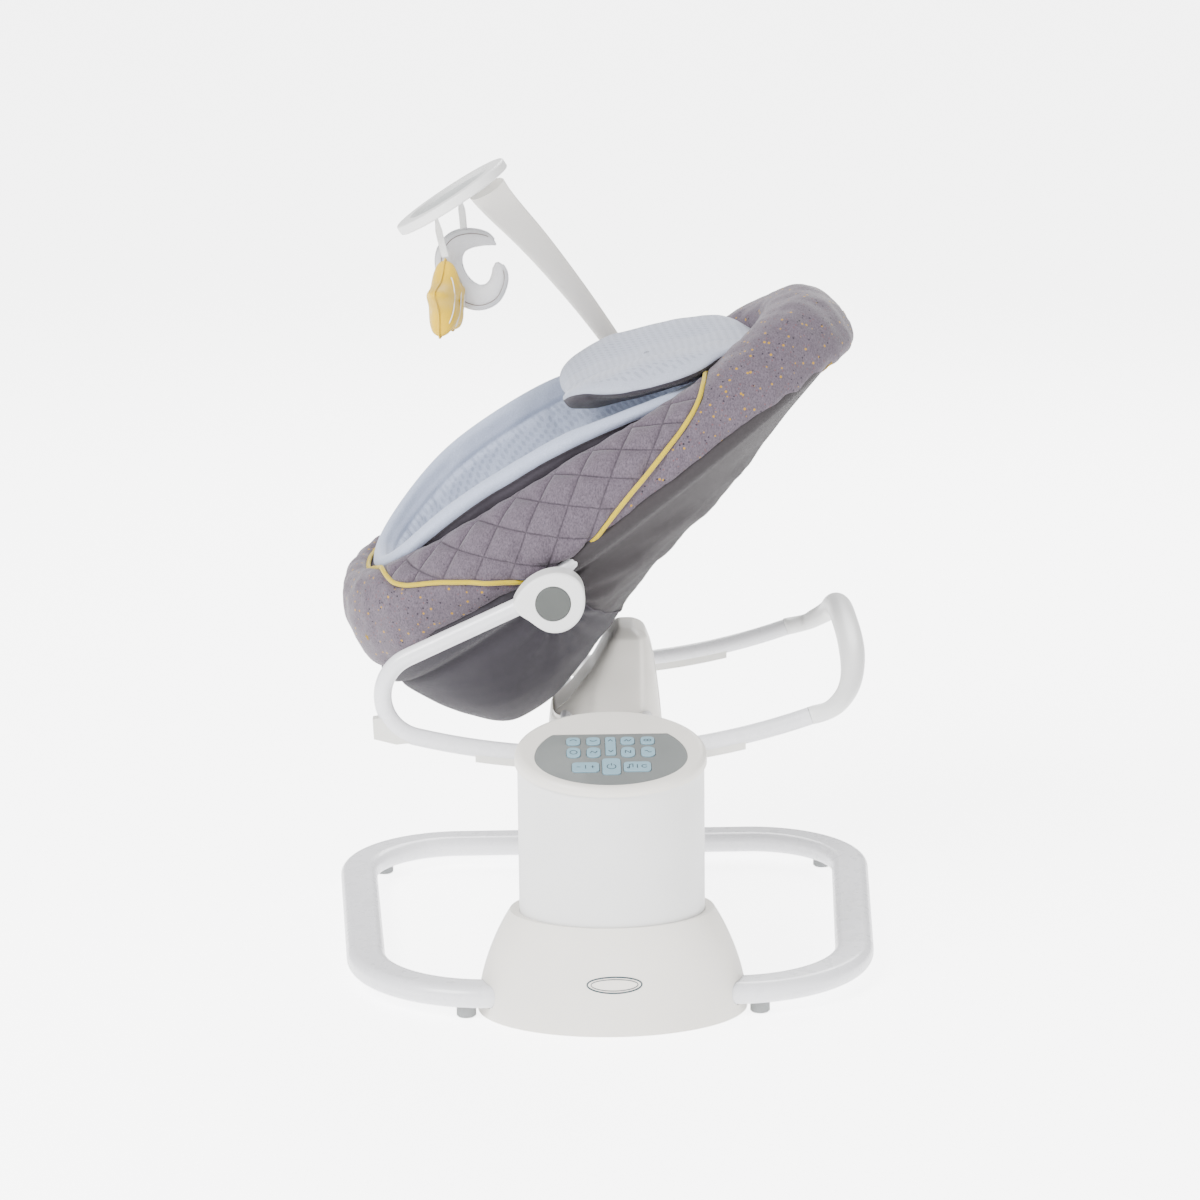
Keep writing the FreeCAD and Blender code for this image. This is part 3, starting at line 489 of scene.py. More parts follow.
# each knit's second colour is a shaded copy of its first, painted into the lozenges as shade
INSERT = textured_knit("insert_knit", srgb(203, 208, 220), srgb(168, 175, 190))
PILLOW = textured_knit("pillow_knit", srgb(200, 203, 211), srgb(169, 173, 184))
PIPING = plain_cloth("yellow_piping", srgb(214, 200, 36), pitch=0.0012, sheen=0.3)
WEBBING = plain_cloth("grey_webbing", srgb(120, 122, 126), pitch=0.0022, depth=0.0004)
RIBBON = plain_cloth("white_ribbon", srgb(238, 238, 236), pitch=0.0012)
MOON = plain_cloth("moon_plush", srgb(226, 226, 228), sheen=0.5, depth=0.0004)
STAR = plain_cloth("star_plush", srgb(230, 206, 14), sheen=0.4, depth=0.0004)
GOLD = plain_cloth("gold_print", srgb(186, 160, 40), sheen=0.0, depth=0.0001)
THREAD = plain_cloth("brown_thread", srgb(150, 130, 118), sheen=0.0, depth=0.0001)

MATERIAL_NODES = (
    (PAINT, "floor_ring runner_tube_left runner_tube_right dock_cross_tubes seat_ring_tube"),
    (WHITE, "tower_shell rear_handle hub_left hub_right mobile_socket mobile_ring"),
    (WARM_WHITE, "base_skirt tower_head arm_shell mobile_arm"),
    (INNER, "base_plate swivel_frame dock_mast"),
    (STEEL, "base_screws swivel_post guide_rods arm_beam"),
    (CAN, "swivel_motor glide_motor"),
    (NYLON, "swivel_pinion sector_gear glide_pinion"),
    (BLACK, "power_inlet speaker"),
    (BUTTON, "dock_release hub_button_left hub_button_right buckle_button"),
    (BUCKLE, "seat_brackets crotch_buckle"),
    (RUBBER, "ring_feet"), (PANEL, "control_panel"), (BOARD, "panel_board"), (PAD, "runner_pads"),
    (TRAY, "mobile_tray"))


def paint_nodes():
    chosen = {name: material for material, names in MATERIAL_NODES for name in names.split()}
    for name, obj in frame["nodes"].items():
        is_key = name.endswith("_key") or name.startswith("motion_key")
        if name in chosen or is_key:
            for slot in obj.material_slots:
                slot.material = chosen.get(name, KEY)


# ---- seat cover
def level_outline(angle, u0, u1, half):
    """Oval (u, v) from u0 at the foot to u1 at the head, blunter at the foot end."""
    middle = u0 + (u1 - u0) * WIDEST_RUN / SEAT_RUN
    c = np.cos(angle)
    s = np.sin(angle)
    power = np.where(c > 0, 2 / HEAD_POWER, 2 / FOOT_POWER)
    reach = np.where(c > 0, u1 - middle, middle - u0)
    return middle + np.sign(c) * np.abs(c) ** power * reach, np.sign(s) * np.abs(s) ** power * half


def outline(angle, inset):
    """Seat outline (u, v) at an inset in millimetres; angle is 0 at the head end."""
    return level_outline(angle, FOOT_U + inset, HEAD_U - inset, HALF_V - inset)


def even_angles(count):
    """Angles that step evenly along the outline's length, and the length itself."""
    dense = np.linspace(0, 2 * math.pi, 4001)
    u, v = outline(dense, 0.0)
    run = np.concatenate([[0], np.cumsum(np.hypot(np.diff(u), np.diff(v)))])
    return np.interp(np.linspace(0, run[-1], count, endpoint=False), run, dense), run[-1]


def hoop_w(u):
    """Height of the seat hoop's plane, which the sling wraps."""
    return 24.6 + 0.0813 * u


def cover_low(u):
    return np.interp(u, (-250, -222, -150, -60, 0, 60, 150, 260, 330, 375, 432, 458),
                     (8, 13, 32, 31, 27, 29, 36, 44, 43, 40, 36, 34))


def cover_high(u):
    return np.interp(u, (-250, -140, 110, 240, 300, 380, 458), (122, 117, 116, 111, 110, 119, 124))


# inset and height share of the padded wall, from the tucked lower edge, over the top and down inside
COVER_PROFILE = ((30, 0.02), (14, -0.035), (4, 0.05), (0, 0.22), (1, 0.45), (7, 0.70), (20, 0.90), (36, 1.0),
                 (52, 1.0), (65, 0.90), (73, 0.68), (78, 0.35), (84, 0.05))
COVER_COLUMNS = 880
COVER_ROWS = 120


class Cover:
    def __init__(self):
        self.angles, self.length = even_angles(COVER_COLUMNS)
        self.profile = curve_through(COVER_PROFILE, COVER_ROWS)
        scaled = self.profile * np.array([1.0, 105.0])
        self.height_run = np.concatenate([[0], np.cumsum(np.linalg.norm(np.diff(scaled, axis=0), axis=1))])
        self.rim_u = outline(self.angles, 0.0)[0]
        self.smooth = self.surface(self.angles, self.rim_u)
        self.normals = facing(grid_normals(self.smooth, False, True), (COVER_ROWS // 4, 0), U_AXIS)

    def surface(self, angles, rim_u):
        rows = []
        wide = 1 + 0.42 * smoothstep(rim_u, 250, 430)
        for inset, share in self.profile:
            spread = 20 + (inset - 20) * wide if inset > 20 and share > 0.1 else inset
            u, v = outline(angles, spread)
            w = cover_low(rim_u) + share * (cover_high(rim_u) - cover_low(rim_u))
            rows.append(seat_world(u, v, w))
        return np.array(rows)

    def foot_line(self, u):
        """Height on the wall, in millimetres of profile length, of the foot piping."""
        return np.interp(u, (-250, -225, -195, -165, -106, -50, -2, 12), (172, 168, 150, 112, 88, 50, 8, -12))

    def head_line(self, u):
        return np.interp(u, (50, 65, 120, 188, 240, 275, 300, 330, 370, 458),
                         (-4, 18, 42, 68, 92, 118, 146, 172, 196, 202))

    def at(self, column, height):
        """Point and normal at a fractional column and a profile length."""
        row = np.interp(height, self.height_run, np.arange(COVER_ROWS))
        r0 = np.clip(np.floor(row).astype(int), 0, COVER_ROWS - 2)
        c0 = np.floor(column).astype(int)
        fr = (row - r0)[..., None]
        fc = (column - c0)[..., None]
        out = []
        for field in (self.final, self.normals):
            a = field[r0, c0 % COVER_COLUMNS] * (1 - fc) + field[r0, (c0 + 1) % COVER_COLUMNS] * fc
            b = field[r0 + 1, c0 % COVER_COLUMNS] * (1 - fc) + field[r0 + 1, (c0 + 1) % COVER_COLUMNS] * fc
            out.append(a * (1 - fr) + b * fr)
        return out[0], out[1] / np.linalg.norm(out[1], axis=-1, keepdims=True)

    def build(self):
        q = self.height_run[:, None] + 0 * self.angles[None, :]
        run = np.arange(COVER_COLUMNS)[None, :] * self.length / COVER_COLUMNS + 0 * q
        foot = self.foot_line(self.rim_u)[None, :]
        head = self.head_line(self.rim_u)[None, :]
        quilted = smoothstep(q - foot, 2, 9) * smoothstep(q - head, 2, 9) * (1 - smoothstep(q, 140, 165))
        a = (run + q) / QUILT
        b = (run - q) / QUILT
        da = np.abs(a - np.round(a)) * QUILT_PITCH
        db = np.abs(b - np.round(b)) * QUILT_PITCH
        near = np.minimum(da, db)
        puff = 7.0 * (1 - np.exp(-near / 7.5)) - 4.2
        seam_gap = np.minimum(np.abs(q - foot), np.abs(q - head))
        tuck = -4.0 * np.exp(-(seam_gap / 6.0) ** 2)
        wrinkle = 1.5 * waves(self.smooth, 3, 0.10, 3) + 0.9 * waves(self.smooth, 5, 0.035, 2)
        pull = 0.8 * np.sin(run / 9.0 + 2.2 * waves(self.smooth, 8, 0.15, 2)) * np.exp(-q / 16.0)
        push = puff * quilted + tuck + wrinkle * (1 - 0.5 * quilted) + pull
        self.final = self.smooth + self.normals * (push * MM)[..., None]
        obj = grid_object("seat_cover_padding", self.final, [HEATHER, LINING], wrap_columns=True)
        printed = np.maximum(q < foot, q < head)
        for name, values in (("print", printed), ("quilt_a", run + q), ("quilt_b", run - q), ("quilted", quilted)):
            add_attribute(obj, name, values)
        self.stitches()
        return obj

    def stitches(self):
        """Raised yellow piping along both panel seams."""
        self.extra = []
        foot_columns = np.nonzero(self.rim_u < 4)[0]
        head_columns = np.nonzero(self.rim_u > 62)[0]
        head_columns = np.concatenate([head_columns[head_columns > COVER_COLUMNS // 2],
                                       head_columns[head_columns <= COVER_COLUMNS // 2] + COVER_COLUMNS])
        for name, columns, line in (("foot_piping", foot_columns, self.foot_line),
                                    ("head_piping", head_columns, self.head_line)):
            u = self.rim_u[columns % COVER_COLUMNS]
            height = np.convolve(np.pad(line(u), 10, "edge"), np.ones(21) / 21, "valid")
            point, normal = self.at(columns.astype(float), np.maximum(height, 2.0))
            path = curve_through(point[::8] + normal[::8] * 0.0024, 520)
            self.extra.append(tube(name, path, 0.0029, PIPING, sides=10))


def star_edge(outer, inner, turn, steps):
    """Five-pointed star (n, 2); steps are the shares of each side that carry a point."""
    corners = []
    for k in range(10):
        r = outer if k % 2 == 0 else inner
        angle = turn + k * math.pi / 5
        corners.append((r * math.cos(angle), r * math.sin(angle)))
    corners = np.array(corners)
    return np.array([a + (b - a) * t for a, b in zip(corners, np.roll(corners, -1, 0)) for t in steps])


def star_print(cover, name, column, height, radius, turn, tail=False):
    """A small printed star, laid on the cover's surface."""
    step = cover.length / COVER_COLUMNS
    outline_points = star_edge(radius, radius * 0.45, turn, (0, 0.34, 0.67))
    rings = [outline_points * k for k in (1.0, 0.66, 0.33)]
    flat = np.vstack(rings + [np.zeros((1, 2))])
    place, normal = cover.at(column + flat[:, 0] / step, height + flat[:, 1])
    verts = place + normal * 0.00045
    n = len(outline_points)
    faces = [(r * n + i, r * n + (i + 1) % n, (r + 1) * n + (i + 1) % n, (r + 1) * n + i)
             for r in range(2) for i in range(n)]
    faces += [(2 * n + i, 2 * n + (i + 1) % n, 3 * n) for i in range(n)]
    star = new_object(name, verts, faces, GOLD)
    if not tail:
        return [star]
    swish = []
    for offset in (-0.35, 0.0, 0.35):
        line = np.array([[-radius * (0.9 + 2.1 * t) * math.cos(turn) - offset * radius * math.sin(turn) * (1 - t),
                          -radius * (0.9 + 2.1 * t) * math.sin(turn) + offset * radius * math.cos(turn) * (1 - t)]
                         for t in np.linspace(0, 1, 9)])
        place, normal = cover.at(column + line[:, 0] / step, height + line[:, 1])
        swish.append(tube(name + "_tail", place + normal * 0.0003, np.linspace(0.0011, 0.0003, 9), GOLD, sides=6))
    return [star] + swish


# place round the rim in 620ths, height on the wall, radius, turn, and whether it has a tail
STAR_SPOTS = ((315, 40, 9, 0.4, False), (269, 26, 8, 1.0, True), (345, 70, 5, 0.2, False), (630, 62, 8, 0.7, True),
              (670, 110, 8, 2.2, True), (697, 84, 9, 0.3, False), (715, 140, 7, 1.1, True), (740, 60, 8, 2.6, False),
              (770, 150, 8, 0.5, True), (655, 24, 7, 0.9, False), (230, 90, 8, 0.6, True), (195, 50, 8, 1.9, False),
              (805, 90, 8, 0.4, True), (840, 50, 8, 1.4, False), (585, 22, 6, 0.1, True))


def make_cover():
    cover = Cover()
    body = cover.build()
    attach(body, "seat")
    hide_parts("seat_cover")
    for piece in cover.extra:
        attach(piece, "seat")
    prints = []
    for index, (column, height, radius, turn, tail) in enumerate(STAR_SPOTS):
        place = column * COVER_COLUMNS / 620
        prints += star_print(cover, "star_print_%d" % index, place, height, radius, turn, tail)
    stars = join("star_prints", prints)
    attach(stars, "seat")
    return cover


# ---- sling
# ovals below the hoop: foot u, head u, half width, height, slope
SLING_LEVELS = ((-233, 340, 175, -10, 0.045), (-231, 250, 171, -30, 0.0), (-214, 112, 160, -62, 0.0),
                (-188, 30, 143, -96, 0.0), (-160, -40, 108, -124, 0.0), (-128, -84, 48, -137, 0.0),
                (-112, -100, 10, -139, 0.0))


# the side seams run where u + 0.4 w has this value
SLING_SEAM = 8.0


def make_sling():
    angles, _ = even_angles(300)
    rim_u, rim_v = outline(angles, 0.0)
    dodge = 15.0 * np.exp(-(rim_u / 36.0) ** 2)
    dodge += 17.0 * np.exp(-((rim_u - 192) / 22.0) ** 4) * (rim_v > 0)
    stack = []
    hem = np.maximum(cover_low(rim_u) - 1.0, hoop_w(rim_u) + 1.0)
    for inset, height in ((24, hem + 3), (12, hem + 2.0), (5, hem - 5), (4.5, hoop_w(rim_u) - 10),
                          (8, hoop_w(rim_u) - 18), (17, hoop_w(rim_u) - 23)):
        u, v = outline(angles, inset + dodge)
        stack.append(np.stack([u, v, height], axis=1))
    for u0, u1, half, w, slope in SLING_LEVELS:
        u, v = level_outline(angles, u0, u1, half)
        stack.append(np.stack([u, v, w + slope * u], axis=1))
    stack = np.array(stack)
    local = np.array([curve_through(stack[:, k], 90) for k in range(len(angles))]).transpose(1, 0, 2)
    points = seat_world(local[..., 0], local[..., 1], local[..., 2])
    normals = facing(grid_normals(points, False, True), (40, 225), -V_AXIS)
    depth = np.linspace(0, 1, 90)[:, None]
    fade = smoothstep(depth, 0.16, 0.4) * (1 - 0.6 * smoothstep(depth, 0.7, 1.0))
    back = smoothstep(local[..., 0], -10, 60)
    folds = (2.2 * waves(points, 21, 0.16, 3) + 1.3 * waves(points, 22, 0.05, 3)) * fade
    fan = 2.4 * np.sin(14 * np.arctan2(local[..., 2] + 20, local[..., 0] + 5)) * np.exp(
        -np.hypot(local[..., 0], local[..., 2]) / 90) * fade * (np.abs(local[..., 1]) > 70)
    drag = 1.8 * np.sin(local[..., 2] / 7.0 + local[..., 0] / 16.0) * fade * back
    push = folds * (0.35 + 0.65 * back) + fan + drag * 0.6 - 1.5 * smoothstep(depth, 0.2, 0.4)
    points = points + normals * (push * MM)[..., None]
    obj = grid_object("sling_bag", points, SLING, wrap_columns=True)
    zone = smoothstep(local[..., 0] + 0.4 * local[..., 2], 4, 12)
    add_attribute(obj, "zone", zone)
    thick = obj.modifiers.new("thickness", "SOLIDIFY")
    thick.thickness = 0.0016
    thick.offset = -1
    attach(obj, "seat")
    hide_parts("seat_bag")
    seams = []
    for side in (False, True):
        path = []
        for row in range(22, 76):
            edge = np.where((local[row, :, 1] > 0) == side)[0]
            match = edge[np.argmin(np.abs(local[row, edge, 0] + 0.4 * local[row, edge, 2] - SLING_SEAM))]
            path.append(points[row, match] + normals[row, match] * 0.0006)
        seams.append(tube("sling_side_seam", curve_through(path[::3], 90), 0.0011, UNDER, sides=8))
    seam = join("sling_seams", seams)
    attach(seam, "seat")


# ---- body insert and pillow
def closed_pad(name, top, bottom, materials):
    """Two stacked polar grids (rows outward, columns round) sewn at their outer edge."""
    rows, columns = top.shape[:2]
    verts = np.vstack([top.reshape(-1, 3), bottom[:-1].reshape(-1, 3)])
    faces = grid_faces(rows, columns, False, True)
    faces.append(list(range(columns))[::-1])
    base = rows * columns
    lower = [[f[0], f[3], f[2], f[1]] for f in grid_faces(rows - 1, columns, False, True, base)]
    last_top = (rows - 1) * columns
    last_low = base + (rows - 2) * columns
    rim = [[last_low + j, last_low + (j + 1) % columns, last_top + (j + 1) % columns, last_top + j]
           for j in range(columns)]
    lid = list(range(base, base + columns))
    obj = new_object(name, verts, faces + lower + rim + [lid], materials)
    index = np.zeros(len(obj.data.polygons), np.int32)
    index[len(faces):] = 1
    obj.data.polygons.foreach_set("material_index", index)
    return obj


def wing_w(u, v):
    """Edge line of the insert's wings, level in the middle and falling away at both ends."""
    foot = 0.5 * (-55 - u + np.hypot(-55 - u, 50))
    head = 0.5 * (u - 110 + np.hypot(u - 110, 50))
    return 164.0 - 0.32 * foot - 0.32 * head + 0.06 * v


# share of the way out at which the border is sewn on, on the upper and lower face
SEWN_TOP = 0.86
SEWN_LOW = 0.90


def make_insert():
    columns = 260
    rows = 72
    angles, _ = even_angles(columns)
    rim_u, rim_v = level_outline(angles, -175, 328, 148)
    rim_w = wing_w(rim_u, rim_v)
    steps = ((0.03, 0.0), (0.25, 0.01), (0.45, 0.05), (0.62, 0.13), (0.76, 0.28), (0.87, 0.5), (0.94, 0.75),
             (0.98, 0.9), (1.0, 1.0))
    profile = curve_through(steps, rows)
    centre_u = 45.0
    stack = []
    for k, rise in profile:
        u = centre_u + (rim_u - centre_u) * k
        v = rim_v * k
        base = 20.0 + 0.12 * np.maximum(u - 90, 0) + 0.05 * np.maximum(-u - 90, 0)
        stack.append(np.stack([u, v, base + (rim_w - base) * rise], axis=1))
    local = np.array(stack)
    mid = seat_world(local[..., 0], local[..., 1], local[..., 2])
    normals = facing(grid_normals(mid, False, True), (5, 0), W_AXIS)
    reach = np.linspace(0, 1, rows)[:, None]
    roll = np.exp(-((reach - 0.955) / 0.035) ** 2)
    half = (6.5 + 2.5 * roll) * np.sqrt(np.clip(1 - smoothstep(reach, 0.96, 1.0) ** 2, 0, 1)) + 0.5
    rise = normals * (half * MM)[..., None]
    pad = closed_pad("insert_pad", mid + rise, mid - rise, [INSERT, UNDER])
    reach_top = np.broadcast_to(reach, (rows, columns)).ravel()
    reach_low = reach_top[:-columns]
    edge_band = np.concatenate([smoothstep(reach_top, 0.855, 0.865), smoothstep(reach_low, SEWN_LOW, 0.905)])
    add_attribute(pad, "border", edge_band)
    index = np.zeros(len(pad.data.polygons), np.int32)
    pad.data.polygons.foreach_get("material_index", index)
    corner_band = [min(edge_band[v] for v in face.vertices) for face in pad.data.polygons]
    index[np.array(corner_band) > 0.5] = 0
    pad.data.polygons.foreach_set("material_index", index)
    sewn = np.concatenate([np.abs(reach_top - SEWN_TOP) < 0.012, np.abs(reach_low - SEWN_LOW) < 0.012])
    cloth_puff(pad, 3.5, 0.010, 16, keep=sewn.astype(float))
    points = coords(pad)
    n = np.vstack([normals.reshape(-1, 3), -normals[:-1].reshape(-1, 3)])
    groove = np.concatenate([np.exp(-((reach_top - SEWN_TOP) / 0.013) ** 2),
                             np.exp(-((reach_low - SEWN_LOW) / 0.013) ** 2)])
    u_flat = np.concatenate([local[..., 0].ravel(), local[:-1, :, 0].ravel()])
    is_top = np.concatenate([reach_top < 0.855, np.zeros(len(reach_low), bool)])
    channels = np.zeros(len(points))
    for place in (-138.0, -116.0, -94.0, 84.0):
        channels += np.exp(-((u_flat - place) / 3.2) ** 2)
    wrinkle = 1.4 * waves(points, 31, 0.08, 3)
    points += n * ((wrinkle - 3.0 * groove - 3.0 * channels * is_top) * MM)[:, None]
    set_coords(pad, points)
    subdivide(pad)
    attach(pad, "seat")
    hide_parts("body_insert")


def make_pillow():
    columns = 200
    angle = np.linspace(0, 2 * math.pi, columns, endpoint=False)
    c = np.cos(angle)
    s = np.sin(angle)
    rim_u = 230 + np.sign(c) * np.abs(c) ** 0.85 * np.where(c > 0, 128, 118)
    rim_v = np.sign(s) * np.abs(s) ** 0.85 * 126
    rim_u = rim_u + 9 * np.exp(-(rim_v / 45) ** 2) * (c < 0)
    rows = 40
    reach = np.linspace(0.02, 1, rows)
    u = 228 + (rim_u - 228) * reach[:, None]
    v = rim_v * reach[:, None]
    lobes = 14 * smoothstep(np.abs(v), 20, 95) - 12 * smoothstep(np.abs(v), 100, 128)
    mid_w = wing_w(u, v) + 14 + lobes - 0.0004 * (u - 228) ** 2
    mid = seat_world(u, v, mid_w)
    normals = facing(grid_normals(mid, False, True), (5, 0), W_AXIS)
    half = 13.0 * np.sqrt(np.clip(1 - reach ** 3, 0, 1))[:, None] + 0.6
    top = mid + normals * (half * MM)[..., None]
    bottom = mid - normals * (half * 2.0 * MM)[..., None]
    pad = closed_pad("head_pillow_pad", top, bottom, [PILLOW, UNDER])
    reach_top = np.repeat(reach, columns)
    add_attribute(pad, "border", np.concatenate([smoothstep(reach_top, 0.9, 0.92), np.zeros((rows - 1) * columns)]))
    cloth_puff(pad, 4.0, 0.010, 18)
    points = coords(pad)
    points += np.vstack([normals.reshape(-1, 3), -normals[:-1].reshape(-1, 3)]) * (
        (1.6 * waves(points, 41, 0.08, 3)) * MM)[:, None]
    set_coords(pad, points)
    subdivide(pad)
    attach(pad, "seat")
    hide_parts("head_pillow")


# ---- dock hood
HOOD_POWER = 0.42


def make_hood():
    low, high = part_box("dock_hood")
    z0 = low.z
    z1 = high.z
    levels = np.concatenate([np.linspace(0, 0.86, 30), 1 - 0.14 * (1 - np.linspace(0, 1, 15)[1:]) ** 1.6])
    left = lambda z: np.interp(z, (256, 284, 296, 334, 372, 385), (-69, -66, -48, -17, 4, 14))
    right = lambda z: np.interp(z, (256, 300, 330, 358, 376, 385), (70, 66, 62.5, 57, 50, 38))
    front = lambda z: np.interp(z, (256, 320, 360, 378, 385), (-17, -8, 1, 9, 20))
    rear = lambda z: np.interp(z, (256, 320, 360, 378, 385), (133, 125, 117, 110, 98))
    angle = np.linspace(0, 2 * math.pi, 160, endpoint=False)
    rings = []
    for level in levels:
        z = z0 * 1000 + level * (z1 - z0) * 1000
        x0, x1, y0, y1 = left(z), right(z), front(z), rear(z)
        x = (x0 + x1) / 2 + (x1 - x0) / 2 * np.sign(np.cos(angle)) * np.abs(np.cos(angle)) ** HOOD_POWER
        y = (y0 + y1) / 2 + (y1 - y0) / 2 * np.sign(np.sin(angle)) * np.abs(np.sin(angle)) ** HOOD_POWER
        band = (1 - smoothstep(np.abs(x - 14), 27, 33)) * (np.sin(angle) < 0)
        y = y + 5.0 * (1 - band) * (np.sin(angle) < -0.2) * smoothstep(z, 250, 300)
        shrink = 1 - 0.10 * smoothstep(level, 0.93, 1.0) - 0.16 * smoothstep(level, 0.985, 1.0)
        x = (x0 + x1) / 2 + (x - (x0 + x1) / 2) * shrink
        y = (y0 + y1) / 2 + (y - (y0 + y1) / 2) * shrink
        rings.append(np.stack([x, y, np.full_like(x, z)], axis=1) * MM)
    rings = np.array(rings)
    for _ in range(2):
        rings[1:-1] = 0.25 * rings[:-2] + 0.5 * rings[1:-1] + 0.25 * rings[2:]
    top_centre = rings[-1].mean(0)
    caps = [rings[-1] * (1 - k) + top_centre * k for k in (0.3, 0.6, 0.9, 0.99)]
    for cap in caps:
        cap[:, 2] = z1
    rings = np.vstack([rings, np.array(caps)])
    inner = rings[0].mean(0) + (rings[0] - rings[0].mean(0)) * 0.93
    lower = inner + np.array([0, 0, 0.03])
    rings = np.vstack([[lower, inner], rings])
    obj = grid_object("dock_hood_shell", rings, WARM_WHITE, wrap_columns=True)
    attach(obj, "rocker")
    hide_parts("dock_hood")


# ---- harness
def belt(points, count, across, width):
    path = seat_world(*curve_through(points, count).T)
    return ribbon("belt", path, across, width, 0.0018, WEBBING)


def make_harness():
    parts = []
    for side in (-1, 1):
        waist = ((-41, side * 20, 37.5), (-41, side * 45, 36), (-41, side * 72, 36), (-42, side * 92, 46),
                 (-44, side * 104, 62))
        shoulder = ((-22, side * 14, 39), (10, side * 18, 38), (60, side * 26, 38), (105, side * 34, 45),
                    (150, side * 38, 62))
        parts += [belt(waist, 40, U_AXIS, 0.022), belt(shoulder, 50, V_AXIS, 0.02)]
    parts.append(belt(((-59, 0, 37), (-72, 0, 36), (-90, 0, 31), (-99, 0, 24)), 24, V_AXIS, 0.026))
    obj = join("harness_straps", parts)
    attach(obj, "seat")
    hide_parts("harness_webbing")


# ---- toys
def fill_outline(name, points, depth, materials, rows):
    """A stuffed shape from a closed outline in the XZ plane: two faces that dome towards the middle."""
    columns = len(points)
    reach = np.linspace(0.0, 1, rows + 1)[1:]
    middle = points.mean(0)
    top = []
    low = []
    for r in reach:
        flat = middle + (points - middle) * r
        dome = depth * math.sqrt(max(0.0, 1 - r ** 2.2))
        top.append(np.stack([flat[:, 0], np.full(columns, -dome - 0.0004), flat[:, 1]], axis=1))
        low.append(np.stack([flat[:, 0], np.full(columns, dome + 0.0004), flat[:, 1]], axis=1))
    return closed_pad(name, np.array(top), np.array(low), materials)


# middle line of the crescent round its centre, with its half width, in millimetres
MOON_SPINE = ((30, 30, 1), (24, 34, 5), (15, 37.5, 8.5), (-1, 38, 11.5), (-16, 33, 14), (-25, 21, 15.5),
              (-26.5, 6, 16), (-21, -12, 16.5), (-9, -26, 16), (7, -33.5, 15), (22, -30, 13.5), (31, -19, 11),
              (34, -7, 9.5), (32.5, 3, 6.5), (31, 8, 2))


# the toys' straps narrow to 3 mm where they hang from the tray
STRAP_WIDTH = np.interp(np.arange(24), (0, 15, 23), (0.009, 0.009, 0.003))[:, None]


def toy_strap(name, low, bow, hook, across):
    path = curve_through([low, (low + hook) / 2 + np.array([bow, 0, 0]), hook], 24)
    return ribbon(name, path, across, STRAP_WIDTH, 0.0009, RIBBON)


def make_moon():
    hook = np.array(JOINTS["moon_swing"]["pos_m"], float)
    centre = np.array([hook[0] + 0.012, hook[1], hook[2] - 0.086])
    spine = curve_through(MOON_SPINE, 72)
    spine[:, 2] = np.maximum(spine[:, 2], 0.8)
    along = np.gradient(spine[:, :2], axis=0)
    along /= np.linalg.norm(along, axis=1, keepdims=True)
    rings = []
    for (x, z, half), (tx, tz) in zip(spine, along):
        ring = []
        for k in range(30):
            a = 2 * math.pi * k / 30
            across = half * math.copysign(abs(math.cos(a)) ** 0.9, math.cos(a))
            thick = min(9.5, 0.35 + 0.62 * half) * math.copysign(abs(math.sin(a)) ** 0.8, math.sin(a))
            ring.append((x - tz * across, thick, z + tx * across))
        rings.append(ring)
    body = grid_object("moon_body", np.array(rings) * MM + centre, MOON, wrap_columns=True, caps=True)
    cloth_puff(body, 3.0, 0.004, 12)
    points = coords(body)
    points[:, 1] += np.sign(points[:, 1] - centre[1]) * 0.5 * waves(points, 51, 0.03, 3) * MM
    set_coords(body, points)
    subdivide(body)
    inner = spine[5:-4]
    turn = along[5:-4]
    stitch = [(x + tz * 0.55 * half, -min(9.5, 0.35 + 0.62 * half) * 0.86 - 1.2, z - tx * 0.55 * half)
              for (x, z, half), (tx, tz) in zip(inner, turn)]
    line = tube("moon_stitch", np.array(stitch) * MM + centre, 0.0004, THREAD, sides=6)
    for sign in (-1, 1):
        edge = [(x - sign * tz * half, 0, z + sign * tx * half)
                for (x, z, half), (tx, tz) in zip(spine[2:-2], along[2:-2])]
        ridge = tube("moon_seam", np.array(edge) * MM + centre, 0.0010, MOON, sides=8)
        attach(ridge, "moon")
    strap_low = centre + np.array([-0.008, 0, 0.046])
    strap = toy_strap("moon_ribbon", strap_low, 0.0006, hook, (0.9, 0.35, 0))
    for piece in (body, line, strap):
        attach(piece, "moon")
    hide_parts("moon_toy")


def star_outline(radius, inner):
    """The toy star's outline with its corners rounded."""
    points = star_edge(radius, inner, math.pi / 2, np.linspace(0, 1, 6, endpoint=False))
    for _ in range(3):
        points = 0.25 * np.roll(points, 1, 0) + 0.5 * points + 0.25 * np.roll(points, -1, 0)
    return points


